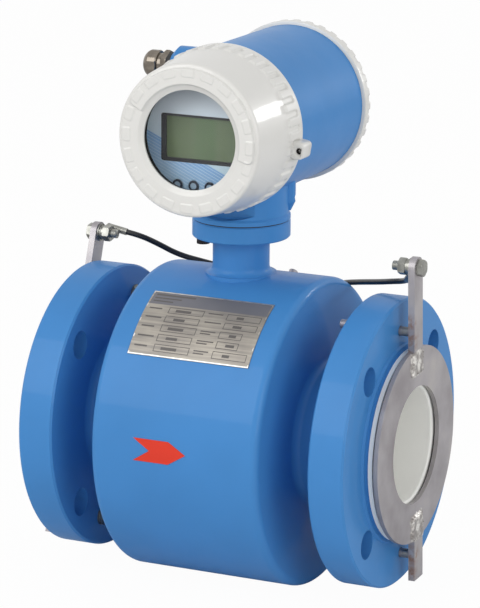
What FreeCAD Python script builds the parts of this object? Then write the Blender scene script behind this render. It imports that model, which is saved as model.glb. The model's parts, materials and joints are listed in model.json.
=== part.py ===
import FreeCAD, Part
import math
import os
from FreeCAD import Rotation, Vector

# Electromagnetic flow meter, flanged, with a display head on a neck.
# Millimetres.  The origin is the centre of the flow bore: +X is the way the liquid
# flows, +Z points up the neck to the head, and the display looks towards -Y.

# ---- flow tube, liner and flanges ----
LINER_BORE_R = 38.0
LINER_WALL = 3.4
LINER_FLARE_R = 63.5
LINER_FLARE_T = 2.9
LINER_LIP = 1.6                 # rounding where the bore meets the flare
TUBE_WALL = 3.05
FLANGE_R = 95.25
FLANGE_FACE_X = 115.2           # outer face of each flange
FLANGE_T = 24.2
FLANGE_CHAMFER = 1.2
BOSS_R = 66.0                   # shallow machined step inside the bolt holes
BOSS_H = 1.6
RAISED_R = 63.0                 # raised face that carries the liner's flare
RAISED_H = 2.2
BOLT_CIRCLE_R = 76.2
BOLT_HOLE_R = 9.55
BOLT_COUNT = 4
PIPE_WELD = 5.0                 # leg of the fillet welds on the flow tube

# ---- coil housing (the drum) ----
DRUM_R = 102.2
DRUM_HALF = 59.0
DRUM_WALL = 3.0
END_PLATE_T = 6.0
DRUM_EDGE_R = 5.0

# ---- magnet system and electrodes ----
SHOE_T = 5.0
SHOE_HALF_LENGTH = 30.0
SHOE_HALF_ANGLE = 38.0
CORE_R = 14.0
YOKE_R = 94.0
YOKE_T = 4.0
YOKE_HALF_LENGTH = 28.0
BOBBIN_T = 1.5
BOBBIN_R = 34.0
BOBBIN_GAP = 4.0                # bobbin to pole shoe, and bobbin to yoke
COIL_R = 31.5
ELECTRODE_HEAD_R = 5.0
ELECTRODE_HEAD_T = 1.8
ELECTRODE_SHY = 0.1             # head lies this far behind the bore's wall
ELECTRODE_STEM_R = 2.0
ELECTRODE_REACH = 60.0          # end of the stem from the bore's axis
SLEEVE_R = 4.0
SLEEVE_FLANGE_R = 7.0
SLEEVE_FLANGE_T = 2.0
POST_R = 9.0                    # welded post around each electrode
POST_REACH = 49.0
ELECTRODE_NUT_AF = 7.0
ELECTRODE_NUT_T = 3.2

# ---- neck ----
NECK_R = 18.7
NECK_WALL = 3.0
NECK_WELD = 4.8
NECK_FLANGE_R = 32.2
NECK_FLANGE_T = 11.4
NECK_TOP_Z = 137.9
GASKET_T = 0.8
GASKET_INSET = 0.9
NECK_BOLT_CIRCLE_R = 26.4
NECK_BOLT_COUNT = 2
NECK_BOLT_ANGLE = 45.0
NECK_BOLT_R = 2.5
NECK_BOLT_HEAD_R = 4.25
NECK_BOLT_HEAD_T = 3.6
NECK_BOLT_GRIP = 9.0            # length of thread in the head casting

# ---- head casting ----
HEAD_Z = 202.9                  # height of the head's axis
BARREL_R = 51.5
BARREL_FRONT_Y = -23.4
BARREL_REAR_Y = 77.6
SPIGOT_R = 48.0
SPIGOT_LENGTH = 19.0
MOUTH_R = 42.0
CAVITY_R = 46.5
PARTITION_FRONT_Y = -22.0
PARTITION_T = 6.0
STUB_R = 31.0
STUB_FOOT_R = 32.2
STUB_FOOT_H = 2.6
STUB_BORE_R = 15.7
SIDE_POST_R = 5.4               # post on the stub that holds the locking screw
SIDE_POST_OFFSET = 29.9
SIDE_POST_ANGLE = 22.0
SIDE_POST_LOW_Z = 143.8
ENTRY_Y = 8.0
ENTRY_RISE = 30.6               # cable entries above and below the head's axis
ENTRY_R = 13.2
ENTRY_FACE_X = -52.5
ENTRY_CHAMFER = 4.2
ENTRY_THREAD_R = 7.9
SEAL_GROOVE_W = 2.8
SEAL_R = 1.15
SEAL_GAP = 0.12                 # play of the seal ring in its groove
THREAD_CLEARANCE = 0.08         # radial play between cover thread and spigot
COVER_GAP = 0.3                 # cover rim to the barrel's shoulder
LUG_CLEARANCE = 0.6             # turning lug to the stub's foot

# ---- covers ----
RIM_R = 53.9
SKIRT_R = 52.6
RIM_BAND = 4.0                  # plain band between the barrel and the grip teeth
FRONT_GRIP_LENGTH = 19.0        # band and teeth
REAR_GRIP_LENGTH = 9.0
GRIP_COUNT = 36
GRIP_DEPTH = 1.3
GRIP_SHARE = 0.46               # share of the pitch that each recess takes
FRONT_COVER_LENGTH = 56.6
FRONT_BEZEL_R = 49.2
COVER_WALL = 4.0
COVER_CORNER_R = 2.6
WINDOW_R = 32.0
WINDOW_LIP = 1.5
CONE_R = 35.6
CONE_DEPTH = 2.2
GLASS_R = 37.0
GLASS_T = 5.0
RETAINER_T = 1.8
RETAINER_BORE_R = 33.4
GLASS_RIM_T = 3.3
BROW_R = 46.2                   # raised brow over the upper half of the bezel
BROW_H = 0.9
BROW_CENTRE_ANGLE = 69.0
BROW_HALF_ANGLE = 84.0
LUG_R = 60.4
LUG_WIDTH = 11.0
LUG_LENGTH = 13.0
LUG_ANGLE = -9.5
LOCK_SCREW_OFFSET = 57.2
LOCK_SCREW_R = 2.0
REAR_COVER_LENGTH = 18.0
REAR_END_R = 47.0
REAR_SPIGOT_LENGTH = 9.0

# ---- display and boards ----
BOARD_T = 1.6
BOARD_R = 40.0
MAIN_BOARD_Y = -30.0
DISPLAY_BOARD_Y = -50.0
PANEL_FRONT_Y = -58.5
PANEL_T = 2.0
PANEL_R = 42.5
LCD_HALF_W = 28.3
LCD_HALF_H = 14.9
LCD_DROP = 3.0                  # centre of the display below the head's axis
LCD_GLASS_MARGIN = 2.5
LCD_PLAY = 0.2                  # glass to the edges of its window
KEY_R = 3.5
KEY_PITCH = 11.3
KEY_DROP = 33.2                 # row of keys below the head's axis
KEY_COUNT = 4
KEY_CLEARANCE = 0.3
KEY_PROUD = 0.8
STANDOFF_R = 2.6
STANDOFF_CIRCLE_R = 36.5
STANDOFF_ANGLES = (90, 224, 316)
POWER_BOARD_Y = 48.0
TERMINAL_SIZE = (58.0, 14.0, 17.0)
TERMINAL_COUNT = 8
TRANSFORMER_SIZE = (34.0, 24.0, 28.0)

# ---- cable gland and plug ----
GLAND_WASHER_T = 3.0
GLAND_WASHER_R = 8.6
GLAND_AF = 17.0
GLAND_HEX_T = 4.0
GLAND_NECK_R = 7.4
GLAND_NECK_LENGTH = 9.0
GLAND_NUT_R = 9.2
GLAND_NUT_LENGTH = 10.0
GLAND_NUT_GAP = 3.5             # neck that shows between hexagon and nut
GLAND_BORE_R = 6.4
GLAND_CABLE_R = 4.2
GLAND_MOUTH_R = 5.2
PLUG_HEX_T = 4.5
SHANK_LENGTH = 10.0

# ---- plates on the drum ----
PLATE_X = (-41.6, 43.8)
PLATE_ANGLES = (24.4, 53.5)     # from straight up, towards the front
PLATE_T = 0.6
ARROW_T = 0.4
ARROW_TIP_X = 9.4
ARROW_HEAD_LENGTH = 12.2
ARROW_LENGTH = 37.0
ARROW_NOTCH = 11.5
ARROW_HALF_H = 7.4
ARROW_Z = 4.2

# ---- grounding rings ----
RING_R = 65.2
RING_BORE_R = 39.1
RING_T = 2.9
RING_GASKET_T = 1.5
RING_GASKET_R = 61.5
RING_INLET_TURN = 19.0          # ears lean this far to the rear
RING_OUTLET_TURN = -3.0
BAR_W = 14.0
BAR_T = 4.4
BAR_INNER = 50.0
EAR_REACH_INLET = 114.6         # centre of each ear's eye
EAR_REACH_OUTLET = 119.5
TAIL_REACH = 92.0
STUD_REACH = 76.0
STUD_R = 3.0
STUD_HOLE_R = 3.5
STUD_END_X = 74.0
M6_AF = 10.0
M6_NUT_T = 4.8
M6_WASHER_R = 6.0
M6_WASHER_T = 1.2
M6_SPRING_R = 4.8
M6_HEAD_T = 4.0
EAR_SPRING_WASHER_T = 1.5
EAR_TIP_LENGTH = 5.0

# ---- grounding leads ----
LEAD_R = 1.9
LUG_PLATE_T = 0.9
LUG_EYE_R = 5.2
TONGUE = 9.4                    # crimp barrel from the eye's centre
BARREL_RISE = -0.4              # barrel's side above the tongue's back face
CRIMP_LENGTH = 14.0
CRIMP_R = 2.4
GROUND_STUD_ANGLE = 45.0        # from straight up, towards the rear
GROUND_STUD_PAD_R = 7.5
GROUND_STUD_PAD_H = 4.0
GROUND_STUD_H = 17.0

X_AXIS = Vector(1, 0, 0)
Y_AXIS = Vector(0, 1, 0)
Z_AXIS = Vector(0, 0, 1)
HEAD = Vector(0, 0, HEAD_Z)

TUBE_BORE_R = LINER_BORE_R + LINER_WALL
TUBE_R = TUBE_BORE_R + TUBE_WALL
FLANGE_BACK_X = FLANGE_FACE_X - FLANGE_T
RAISED_X = FLANGE_FACE_X + BOSS_H + RAISED_H
FLARE_X = RAISED_X + LINER_FLARE_T
RING_BACK_X = FLARE_X + RING_GASKET_T
BAR_FACE_X = RING_BACK_X + BAR_T
NECK_FLANGE_Z = NECK_TOP_Z - NECK_FLANGE_T
STUB_Z = NECK_TOP_Z + GASKET_T
SPIGOT_FRONT_Y = BARREL_FRONT_Y - SPIGOT_LENGTH
SPIGOT_REAR_Y = BARREL_REAR_Y + REAR_SPIGOT_LENGTH
FRONT_RIM_Y = BARREL_FRONT_Y - COVER_GAP
REAR_RIM_Y = BARREL_REAR_Y + COVER_GAP
BEZEL_Y = FRONT_RIM_Y - FRONT_COVER_LENGTH
GLASS_FRONT_Y = BEZEL_Y + CONE_DEPTH + WINDOW_LIP
GLASS_BACK_Y = GLASS_FRONT_Y + GLASS_T
PARTITION_REAR_Y = PARTITION_FRONT_Y + PARTITION_T


# ---- helpers ----

def turned(outline, base, axis):
    """Solid turned about the axis through base.

    The outline is a closed list of (along, radius) corners; an entry of two
    pairs is an arc through the first pair to the second."""
    across = Z_AXIS if abs(axis.z) < 0.5 else X_AXIS

    def place(pair):
        return base + axis * pair[0] + across * pair[1]

    edges = []
    start = outline[0]
    for entry in outline[1:] + [outline[0]]:
        if isinstance(entry[0], tuple):
            edges.append(Part.Arc(place(start), place(entry[0]), place(entry[1])).toShape())
            start = entry[1]
        elif math.dist(start, entry) > 1e-6:
            edges.append(Part.LineSegment(place(start), place(entry)).toShape())
            start = entry
    return Part.Face(Part.Wire(edges)).revolve(base, axis, 360)


def corner(centre, radius, turn):
    """Middle and end of a quarter-round's arc: turn is the angle of each, in degrees."""
    def at(angle):
        a = math.radians(angle)
        return (centre[0] + radius * math.cos(a), centre[1] + radius * math.sin(a))
    return (at(turn[0]), at(turn[1]))


def rod(radius, start, along, length):
    """Plain cylinder from start, in the direction along."""
    return Part.makeCylinder(radius, length, start, along)


def tube(outer, inner, start, along, length):
    """Hollow cylinder from start."""
    return rod(outer, start, along, length).cut(rod(inner, start, along, length))


def block(low, high):
    """Box between two corners."""
    return Part.makeBox(high[0] - low[0], high[1] - low[1], high[2] - low[2], Vector(*low))


def hexagon(across_flats, start, along, length):
    """Hexagonal prism from start, with its corners turned off at both ends."""
    radius = across_flats / math.sqrt(3)
    turn = Rotation(Z_AXIS, along)
    points = []
    for k in range(7):
        a = math.radians(60 * k)
        points.append(start + turn.multVec(Vector(radius * math.cos(a), radius * math.sin(a), 0)))
    prism = Part.Face(Part.makePolygon(points)).extrude(along * length)
    bevel = (radius - across_flats / 2) * 0.6
    blank = turned([(0, 0), (0, radius - bevel), (bevel, radius), (length - bevel, radius),
                    (length, radius - bevel), (length, 0)], start, along)
    return prism.common(blank)


def turned_about_x(shape, degrees):
    """Copy of shape leaned from +Z towards +Y about the bore's axis."""
    copy = shape.copy()
    copy.rotate(Vector(), X_AXIS, -degrees)
    return copy


def mirrored_x(shape):
    """Mirror image in the plane through the neck, across the flow."""
    return shape.mirror(Vector(), X_AXIS)


def joined(shapes):
    """One solid from shapes that meet."""
    return shapes[0].multiFuse(shapes[1:]).removeSplitter()


def group(shapes):
    """Several separate solids in one node."""
    return Part.makeCompound(shapes)


def polar(radius, degrees):
    """Point in the XY plane."""
    a = math.radians(degrees)
    return Vector(radius * math.cos(a), radius * math.sin(a), 0)


def on_head(radius, degrees, y):
    """Point at a radius and angle round the head's axis, seen from the front."""
    a = math.radians(degrees)
    return HEAD + Vector(radius * math.cos(a), y, radius * math.sin(a))


def leaned(radius, degrees):
    """Point in the YZ plane: degrees is counted from straight up, towards the rear."""
    a = math.radians(degrees)
    return Vector(0, radius * math.sin(a), radius * math.cos(a))


# ---- flow tube ----

def measuring_tube():
    """Non-magnetic tube through both flanges, pierced for the two electrodes."""
    body = tube(TUBE_R, TUBE_BORE_R, Vector(-RAISED_X, 0, 0), X_AXIS, 2 * RAISED_X)
    return body.cut(rod(SLEEVE_R, Vector(0, -TUBE_R, 0), Y_AXIS, 2 * TUBE_R))


def liner():
    """Moulded liner with a flare at each end that seals against the grounding ring."""
    lip = LINER_LIP
    body = turned([
        (-FLARE_X, LINER_BORE_R + lip),
        (-FLARE_X, LINER_FLARE_R),
        (-RAISED_X, LINER_FLARE_R),
        (-RAISED_X, TUBE_BORE_R),
        (RAISED_X, TUBE_BORE_R),
        (RAISED_X, LINER_FLARE_R),
        (FLARE_X, LINER_FLARE_R),
        (FLARE_X, LINER_BORE_R + lip),
        corner((FLARE_X - lip, LINER_BORE_R + lip), lip, (-45, -90)),
        (-FLARE_X + lip, LINER_BORE_R),
        corner((-FLARE_X + lip, LINER_BORE_R + lip), lip, (-135, -180)),
    ], Vector(), X_AXIS)
    head_out = LINER_BORE_R + ELECTRODE_SHY + ELECTRODE_HEAD_T
    for side in (Y_AXIS, Y_AXIS * -1):
        body = body.cut(rod(ELECTRODE_HEAD_R, side * (LINER_BORE_R - 3), side,
                            head_out - LINER_BORE_R + 3))
        body = body.cut(rod(ELECTRODE_STEM_R, side * LINER_BORE_R, side, 2 * LINER_WALL))
    return body


def flange():
    """Outlet flange: bolt holes, stepped raised face, weld to the tube behind."""
    c = FLANGE_CHAMFER
    blank = turned([
        (FLANGE_BACK_X - PIPE_WELD, TUBE_R),
        corner((FLANGE_BACK_X - PIPE_WELD, TUBE_R + PIPE_WELD), PIPE_WELD, (-45, 0)),
        (FLANGE_BACK_X, FLANGE_R - c),
        (FLANGE_BACK_X + c, FLANGE_R),
        (FLANGE_FACE_X - c, FLANGE_R),
        (FLANGE_FACE_X, FLANGE_R - c),
        (FLANGE_FACE_X, BOSS_R),
        (FLANGE_FACE_X + BOSS_H, BOSS_R - BOSS_H / 2),
        (FLANGE_FACE_X + BOSS_H, RAISED_R),
        (RAISED_X, RAISED_R),
        (RAISED_X, TUBE_R),
    ], Vector(), X_AXIS)
    for k in range(BOLT_COUNT):
        at = leaned(BOLT_CIRCLE_R, 360 / BOLT_COUNT * (k + 0.5))
        blank = blank.cut(rod(BOLT_HOLE_R, at, X_AXIS, 2 * FLANGE_FACE_X))
    return blank


def drilled_flange(lean):
    """Flange with the two clear holes for the grounding ring's studs."""
    blank = flange()
    for degrees in (lean, lean + 180):
        blank = blank.cut(rod(STUD_HOLE_R, leaned(STUD_REACH, degrees), X_AXIS, 2 * FLANGE_FACE_X))
    return blank


# ---- coil housing ----

def coil_housing_shell():
    """Rolled sheet drum between the end plates, open to the neck at the top."""
    half = DRUM_HALF - END_PLATE_T
    body = tube(DRUM_R, DRUM_R - DRUM_WALL, Vector(-half, 0, 0), X_AXIS, 2 * half)
    return body.cut(rod(NECK_R - NECK_WALL, Vector(), Z_AXIS, 2 * DRUM_R))


def end_plate():
    """Pressed outlet end of the drum, rounded at its edge and welded to the tube."""
    r = DRUM_EDGE_R
    inner_x = DRUM_HALF - END_PLATE_T
    return turned([
        (inner_x, TUBE_R),
        (inner_x, DRUM_R),
        (DRUM_HALF - r, DRUM_R),
        corner((DRUM_HALF - r, DRUM_R - r), r, (45, 0)),
        (DRUM_HALF, TUBE_R + PIPE_WELD),
        corner((DRUM_HALF + PIPE_WELD, TUBE_R + PIPE_WELD), PIPE_WELD, (-135, -90)),
    ], Vector(), X_AXIS)


# ---- magnet system ----

def pole_shoe():
    """Curved iron plate that lies on the tube and spreads the field."""
    arc = turned([(-SHOE_HALF_LENGTH, TUBE_R), (-SHOE_HALF_LENGTH, TUBE_R + SHOE_T),
                  (SHOE_HALF_LENGTH, TUBE_R + SHOE_T), (SHOE_HALF_LENGTH, TUBE_R)],
                 Vector(), X_AXIS)
    reach = 2 * TUBE_R
    half = SHOE_HALF_ANGLE
    tips = [Vector(-reach, 0, 0)]
    for degrees in (-half, 0, half):
        tips.append(leaned(reach, degrees) - X_AXIS * reach)
    wedge = Part.Face(Part.makePolygon(tips + [tips[0]])).extrude(X_AXIS * 2 * reach)
    return arc.common(wedge)


def core():
    """Round iron core from the pole shoe out to the yoke."""
    inner = rod(TUBE_R + SHOE_T, Vector(-DRUM_R, 0, 0), X_AXIS, 2 * DRUM_R)
    outer = rod(YOKE_R - YOKE_T, Vector(-DRUM_R, 0, 0), X_AXIS, 2 * DRUM_R)
    return rod(CORE_R, Vector(), Z_AXIS, YOKE_R).cut(inner).common(outer)


def bobbin_span():
    """Lowest and highest z of the upper bobbin."""
    low = TUBE_R + SHOE_T + BOBBIN_GAP
    high = math.sqrt((YOKE_R - YOKE_T) ** 2 - BOBBIN_R ** 2) - 1.0
    return low, high


def bobbin():
    """Flanged plastic bobbin round the core."""
    low, high = bobbin_span()
    t = BOBBIN_T
    return turned([(low, CORE_R), (low, BOBBIN_R), (low + t, BOBBIN_R), (low + t, CORE_R + t),
                   (high - t, CORE_R + t), (high - t, BOBBIN_R), (high, BOBBIN_R),
                   (high, CORE_R)], Vector(), Z_AXIS)


def coil():
    """Winding that fills the bobbin."""
    low, high = bobbin_span()
    t = BOBBIN_T
    return tube(COIL_R, CORE_R + t, Vector(0, 0, low + t), Z_AXIS, high - low - 2 * t)


def flux_yoke():
    """Iron band that closes the field round the coils."""
    return tube(YOKE_R, YOKE_R - YOKE_T, Vector(-YOKE_HALF_LENGTH, 0, 0), X_AXIS,
                2 * YOKE_HALF_LENGTH)


# ---- electrodes (made for the +Y side) ----

def electrode():
    """Round head set in the liner, with a threaded stem."""
    face = LINER_BORE_R + ELECTRODE_SHY
    return joined([rod(ELECTRODE_HEAD_R, Y_AXIS * face, Y_AXIS, ELECTRODE_HEAD_T),
                   rod(ELECTRODE_STEM_R, Y_AXIS * face, Y_AXIS, ELECTRODE_REACH - face)])


def electrode_post():
    """Short welded post on the tube, faced flat for the sleeve."""
    post = tube(POST_R, SLEEVE_R, Vector(), Y_AXIS, POST_REACH)
    return post.cut(rod(TUBE_R, Vector(-2 * POST_R, 0, 0), X_AXIS, 4 * POST_R))


def electrode_sleeve():
    """Insulating sleeve with a flange, from the liner out through the post."""
    body = joined([rod(SLEEVE_R, Y_AXIS * (TUBE_R - TUBE_WALL), Y_AXIS,
                       POST_REACH - TUBE_R + TUBE_WALL),
                   rod(SLEEVE_FLANGE_R, Y_AXIS * POST_REACH, Y_AXIS, SLEEVE_FLANGE_T)])
    body = body.cut(rod(TUBE_BORE_R, Vector(-DRUM_HALF, 0, 0), X_AXIS, 2 * DRUM_HALF))
    return body.cut(rod(ELECTRODE_STEM_R, Vector(), Y_AXIS, ELECTRODE_REACH))


def electrode_nut():
    """Nut that pulls the electrode's head against the liner."""
    start = Y_AXIS * (POST_REACH + SLEEVE_FLANGE_T)
    nut = hexagon(ELECTRODE_NUT_AF, start, Y_AXIS, ELECTRODE_NUT_T)
    return nut.cut(rod(ELECTRODE_STEM_R, Vector(), Y_AXIS, ELECTRODE_REACH))


# ---- neck ----

def drum_blank():
    """The drum's outer cylinder, for saddle cuts."""
    return rod(DRUM_R, Vector(-DRUM_HALF, 0, 0), X_AXIS, 2 * DRUM_HALF)


def neck_pipe():
    """Neck pipe with its fillet weld, saddle-cut to the drum."""
    w = NECK_WELD
    low = DRUM_R * 0.9
    body = turned([
        (low, NECK_R - NECK_WALL),
        (low, NECK_R + w),
        (DRUM_R, NECK_R + w),
        corner((DRUM_R + w, NECK_R + w), w, (-135, -90)),
        (NECK_TOP_Z, NECK_R),
        (NECK_TOP_Z, NECK_R - NECK_WALL),
    ], Vector(), Z_AXIS)
    return body.cut(drum_blank())


def neck_bolt_places():
    """Centres of the bolts between neck flange and head."""
    step = 360 / NECK_BOLT_COUNT
    return [polar(NECK_BOLT_CIRCLE_R, NECK_BOLT_ANGLE + step * k) for k in range(NECK_BOLT_COUNT)]


def neck_flange():
    """Round flange welded on the neck pipe."""
    edge = 0.8
    body = turned([
        (NECK_FLANGE_Z, NECK_R),
        (NECK_FLANGE_Z, NECK_FLANGE_R - edge),
        (NECK_FLANGE_Z + edge, NECK_FLANGE_R),
        (NECK_TOP_Z - edge, NECK_FLANGE_R),
        (NECK_TOP_Z, NECK_FLANGE_R - edge),
        (NECK_TOP_Z, NECK_R),
    ], Vector(), Z_AXIS)
    for at in neck_bolt_places():
        body = body.cut(rod(NECK_BOLT_R, at, Z_AXIS, STUB_Z))
    return body


def neck_gasket():
    """Flat gasket that shows as the dark line under the head."""
    body = tube(NECK_FLANGE_R - GASKET_INSET, STUB_BORE_R, Vector(0, 0, NECK_TOP_Z),
                Z_AXIS, GASKET_T)
    for at in neck_bolt_places():
        body = body.cut(rod(NECK_BOLT_R, at, Z_AXIS, 2 * STUB_Z))
    return body


def neck_bolts():
    """Socket-head bolts, put in from below."""
    bolts = []
    for at in neck_bolt_places():
        low = at + Z_AXIS * (NECK_FLANGE_Z - NECK_BOLT_HEAD_T)
        shank = rod(NECK_BOLT_R, at + Z_AXIS * NECK_FLANGE_Z, Z_AXIS,
                    STUB_Z + NECK_BOLT_GRIP - NECK_FLANGE_Z)
        head = rod(NECK_BOLT_HEAD_R, low, Z_AXIS, NECK_BOLT_HEAD_T)
        socket = hexagon(1.6 * NECK_BOLT_R, low, Z_AXIS, NECK_BOLT_HEAD_T / 2)
        bolts.append(joined([shank, head.cut(socket)]))
    return group(bolts)


# ---- head casting ----

def entry_centre(sign):
    """Centre of a cable entry's outer face: +1 is the upper one."""
    return Vector(ENTRY_FACE_X, ENTRY_Y, HEAD_Z + sign * ENTRY_RISE)


def entry_boss(sign):
    """Bevelled boss round a cable entry, reaching into the barrel's wall."""
    depth = -ENTRY_FACE_X - 0.5 * CAVITY_R
    return turned([(0, 0), (0, ENTRY_R - ENTRY_CHAMFER), (ENTRY_CHAMFER, ENTRY_R),
                   (depth, ENTRY_R), (depth, 0)], entry_centre(sign), X_AXIS)


def side_post():
    """Post down the stub's side, with a coned foot."""
    at = polar(SIDE_POST_OFFSET, SIDE_POST_ANGLE)
    foot = 3.0
    return turned([(SIDE_POST_LOW_Z, 0), (SIDE_POST_LOW_Z, SIDE_POST_R - foot),
                   (SIDE_POST_LOW_Z + 2 * foot, SIDE_POST_R), (HEAD_Z, SIDE_POST_R),
                   (HEAD_Z, 0)], at, Z_AXIS)


def seal_groove(y, toward):
    """Groove in a spigot at its root, to be cut away."""
    start = HEAD + Y_AXIS * (y if toward > 0 else y - SEAL_GROOVE_W)
    bottom = SPIGOT_R - 2 * SEAL_R - SEAL_GAP
    return tube(SPIGOT_R + 1, bottom, start, Y_AXIS, SEAL_GROOVE_W)


def head_housing():
    """Cast head: barrel with two threaded spigots, stub foot, cable entries."""
    outer = turned([
        (SPIGOT_FRONT_Y, 0), (SPIGOT_FRONT_Y, SPIGOT_R), (BARREL_FRONT_Y, SPIGOT_R),
        (BARREL_FRONT_Y, BARREL_R), (BARREL_REAR_Y, BARREL_R), (BARREL_REAR_Y, SPIGOT_R),
        (SPIGOT_REAR_Y, SPIGOT_R), (SPIGOT_REAR_Y, 0)], HEAD, Y_AXIS)
    foot = turned([
        (STUB_Z, 0), (STUB_Z, STUB_FOOT_R), (STUB_Z + STUB_FOOT_H, STUB_FOOT_R),
        (STUB_Z + STUB_FOOT_H + STUB_FOOT_R - STUB_R, STUB_R), (HEAD_Z, STUB_R), (HEAD_Z, 0)],
        Vector(), Z_AXIS)
    relief = tube(LUG_R + LUG_CLEARANCE, SPIGOT_R, HEAD + Y_AXIS * SPIGOT_FRONT_Y, Y_AXIS,
                  SPIGOT_LENGTH)
    body = joined([outer, foot.cut(relief), side_post(), entry_boss(1), entry_boss(-1)])
    front_hollow = rod(MOUTH_R, HEAD + Y_AXIS * SPIGOT_FRONT_Y, Y_AXIS,
                       PARTITION_FRONT_Y - SPIGOT_FRONT_Y)
    taper = CAVITY_R - MOUTH_R
    rear_hollow = turned([
        (PARTITION_REAR_Y, 0), (PARTITION_REAR_Y, CAVITY_R), (BARREL_REAR_Y - taper, CAVITY_R),
        (BARREL_REAR_Y, MOUTH_R), (SPIGOT_REAR_Y, MOUTH_R), (SPIGOT_REAR_Y, 0)],
        HEAD, Y_AXIS)
    body = body.cut(front_hollow).cut(rear_hollow)
    body = body.cut(rod(STUB_BORE_R, Vector(0, 0, STUB_Z), Z_AXIS, HEAD_Z - STUB_Z))
    for sign in (1, -1):
        body = body.cut(rod(ENTRY_THREAD_R, entry_centre(sign), X_AXIS, -ENTRY_FACE_X))
    for at in neck_bolt_places():
        body = body.cut(rod(NECK_BOLT_R, at + Z_AXIS * STUB_Z, Z_AXIS, NECK_BOLT_GRIP))
    body = body.cut(seal_groove(BARREL_FRONT_Y, -1)).cut(seal_groove(BARREL_REAR_Y, 1))
    return body.cut(side_screw())


def side_screw():
    """Socket screw in the side post, pointing in at the stub."""
    inward = polar(1, SIDE_POST_ANGLE) * -1
    start = polar(SIDE_POST_OFFSET + SIDE_POST_R, SIDE_POST_ANGLE) - inward * 1.0
    return rod(2.4, start + Z_AXIS * (SIDE_POST_LOW_Z + 8), inward, 4.5)


# ---- covers (made from the rim, away from the barrel) ----

def grip_recesses(rim_y, length, outward):
    """Recesses past a cover's rim band that leave square grip teeth."""
    wide = 2 * math.pi * RIM_R / GRIP_COUNT * GRIP_SHARE
    near = rim_y + outward * RIM_BAND
    far = rim_y + outward * (length + 0.5)
    first = block((RIM_R - GRIP_DEPTH, min(near, far), -wide / 2),
                  (RIM_R + 5, max(near, far), wide / 2))
    cuts = []
    for k in range(GRIP_COUNT):
        one = first.copy()
        one.rotate(Vector(), Y_AXIS, -360 * (k + 0.5) / GRIP_COUNT)
        one.translate(HEAD)
        cuts.append(one)
    return Part.makeCompound(cuts)


def front_cover_blank():
    """Turned body of the front cover, with its thread bore and glass pocket."""
    y0 = FRONT_RIM_Y
    grip_y = y0 - FRONT_GRIP_LENGTH
    bezel = BEZEL_Y
    r = COVER_CORNER_R
    thread_r = SPIGOT_R + THREAD_CLEARANCE
    land_r = SPIGOT_R + 2 * SEAL_GAP
    land_y = BARREL_FRONT_Y - SEAL_GROOVE_W - 2
    hollow_r = SPIGOT_R - 2.5
    back_y = BEZEL_Y + COVER_WALL
    pocket_y = GLASS_BACK_Y + RETAINER_T + 0.2
    return turned([
        (y0, land_r), (y0, RIM_R - 0.6), (y0 - 0.6, RIM_R), (grip_y + 1.4, RIM_R),
        (grip_y, SKIRT_R),
        (bezel + r, FRONT_BEZEL_R),
        corner((bezel + r, FRONT_BEZEL_R - r), r, (135, 180)),
        (bezel, CONE_R),
        (bezel + CONE_DEPTH, WINDOW_R),
        (bezel + CONE_DEPTH + WINDOW_LIP, WINDOW_R),
        (GLASS_FRONT_Y, GLASS_R + 0.2),
        (pocket_y, GLASS_R + 0.2),
        (pocket_y, GLASS_R + GLASS_RIM_T),
        (back_y, GLASS_R + GLASS_RIM_T),
        (back_y, hollow_r - 3), (back_y + 3, hollow_r),
        (SPIGOT_FRONT_Y - 1.2, hollow_r),
        (SPIGOT_FRONT_Y - 1.2, thread_r),
        (land_y, thread_r), (land_y, land_r),
    ], HEAD, Y_AXIS)


def sector(radius, centre_angle, half_angle, y, length):
    """Pie slice about the head's axis, seen from the front."""
    points = [HEAD + Y_AXIS * y]
    steps = 6
    for k in range(steps + 1):
        angle = centre_angle - half_angle + 2 * half_angle * k / steps
        points.append(on_head(radius, angle, y))
    return Part.Face(Part.makePolygon(points + [points[0]])).extrude(Y_AXIS * length)


def brow():
    """Raised half ring on the bezel's face."""
    ring = turned([(BEZEL_Y, CONE_R), (BEZEL_Y - BROW_H, CONE_R + BROW_H),
                   (BEZEL_Y - BROW_H, BROW_R - BROW_H), (BEZEL_Y, BROW_R)], HEAD, Y_AXIS)
    return ring.common(sector(2 * RIM_R, BROW_CENTRE_ANGLE, BROW_HALF_ANGLE, BEZEL_Y - 2, 4))


def cover_lug():
    """Lug on the rim that carries the locking screw."""
    low = -LUG_WIDTH / 2
    lug = block((SPIGOT_R + 2, FRONT_RIM_Y - LUG_LENGTH, low), (LUG_R, FRONT_RIM_Y, -low))
    corners = [e for e in lug.Edges
               if abs(e.Vertexes[0].Point.x - LUG_R) < 0.01
               and abs(e.Vertexes[1].Point.x - LUG_R) < 0.01
               and abs(e.Vertexes[0].Point.y - e.Vertexes[1].Point.y) > 1]
    lug = lug.makeFillet(3.0, corners)
    lug = lug.cut(rod(LOCK_SCREW_R, Vector(LOCK_SCREW_OFFSET, FRONT_RIM_Y - LUG_LENGTH, 0),
                      Y_AXIS, LUG_LENGTH))
    lug.rotate(Vector(), Y_AXIS, -LUG_ANGLE)
    lug.translate(HEAD)
    return lug


def front_cover():
    """Front cover: grip teeth, sight window cone, brow and locking lug."""
    body = front_cover_blank().cut(grip_recesses(FRONT_RIM_Y, FRONT_GRIP_LENGTH, -1))
    return joined([body, brow(), cover_lug()])


def window_glass():
    """Thick round glass, seated behind the window's lip."""
    return rod(GLASS_R, HEAD + Y_AXIS * GLASS_FRONT_Y, Y_AXIS, GLASS_T)


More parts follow.
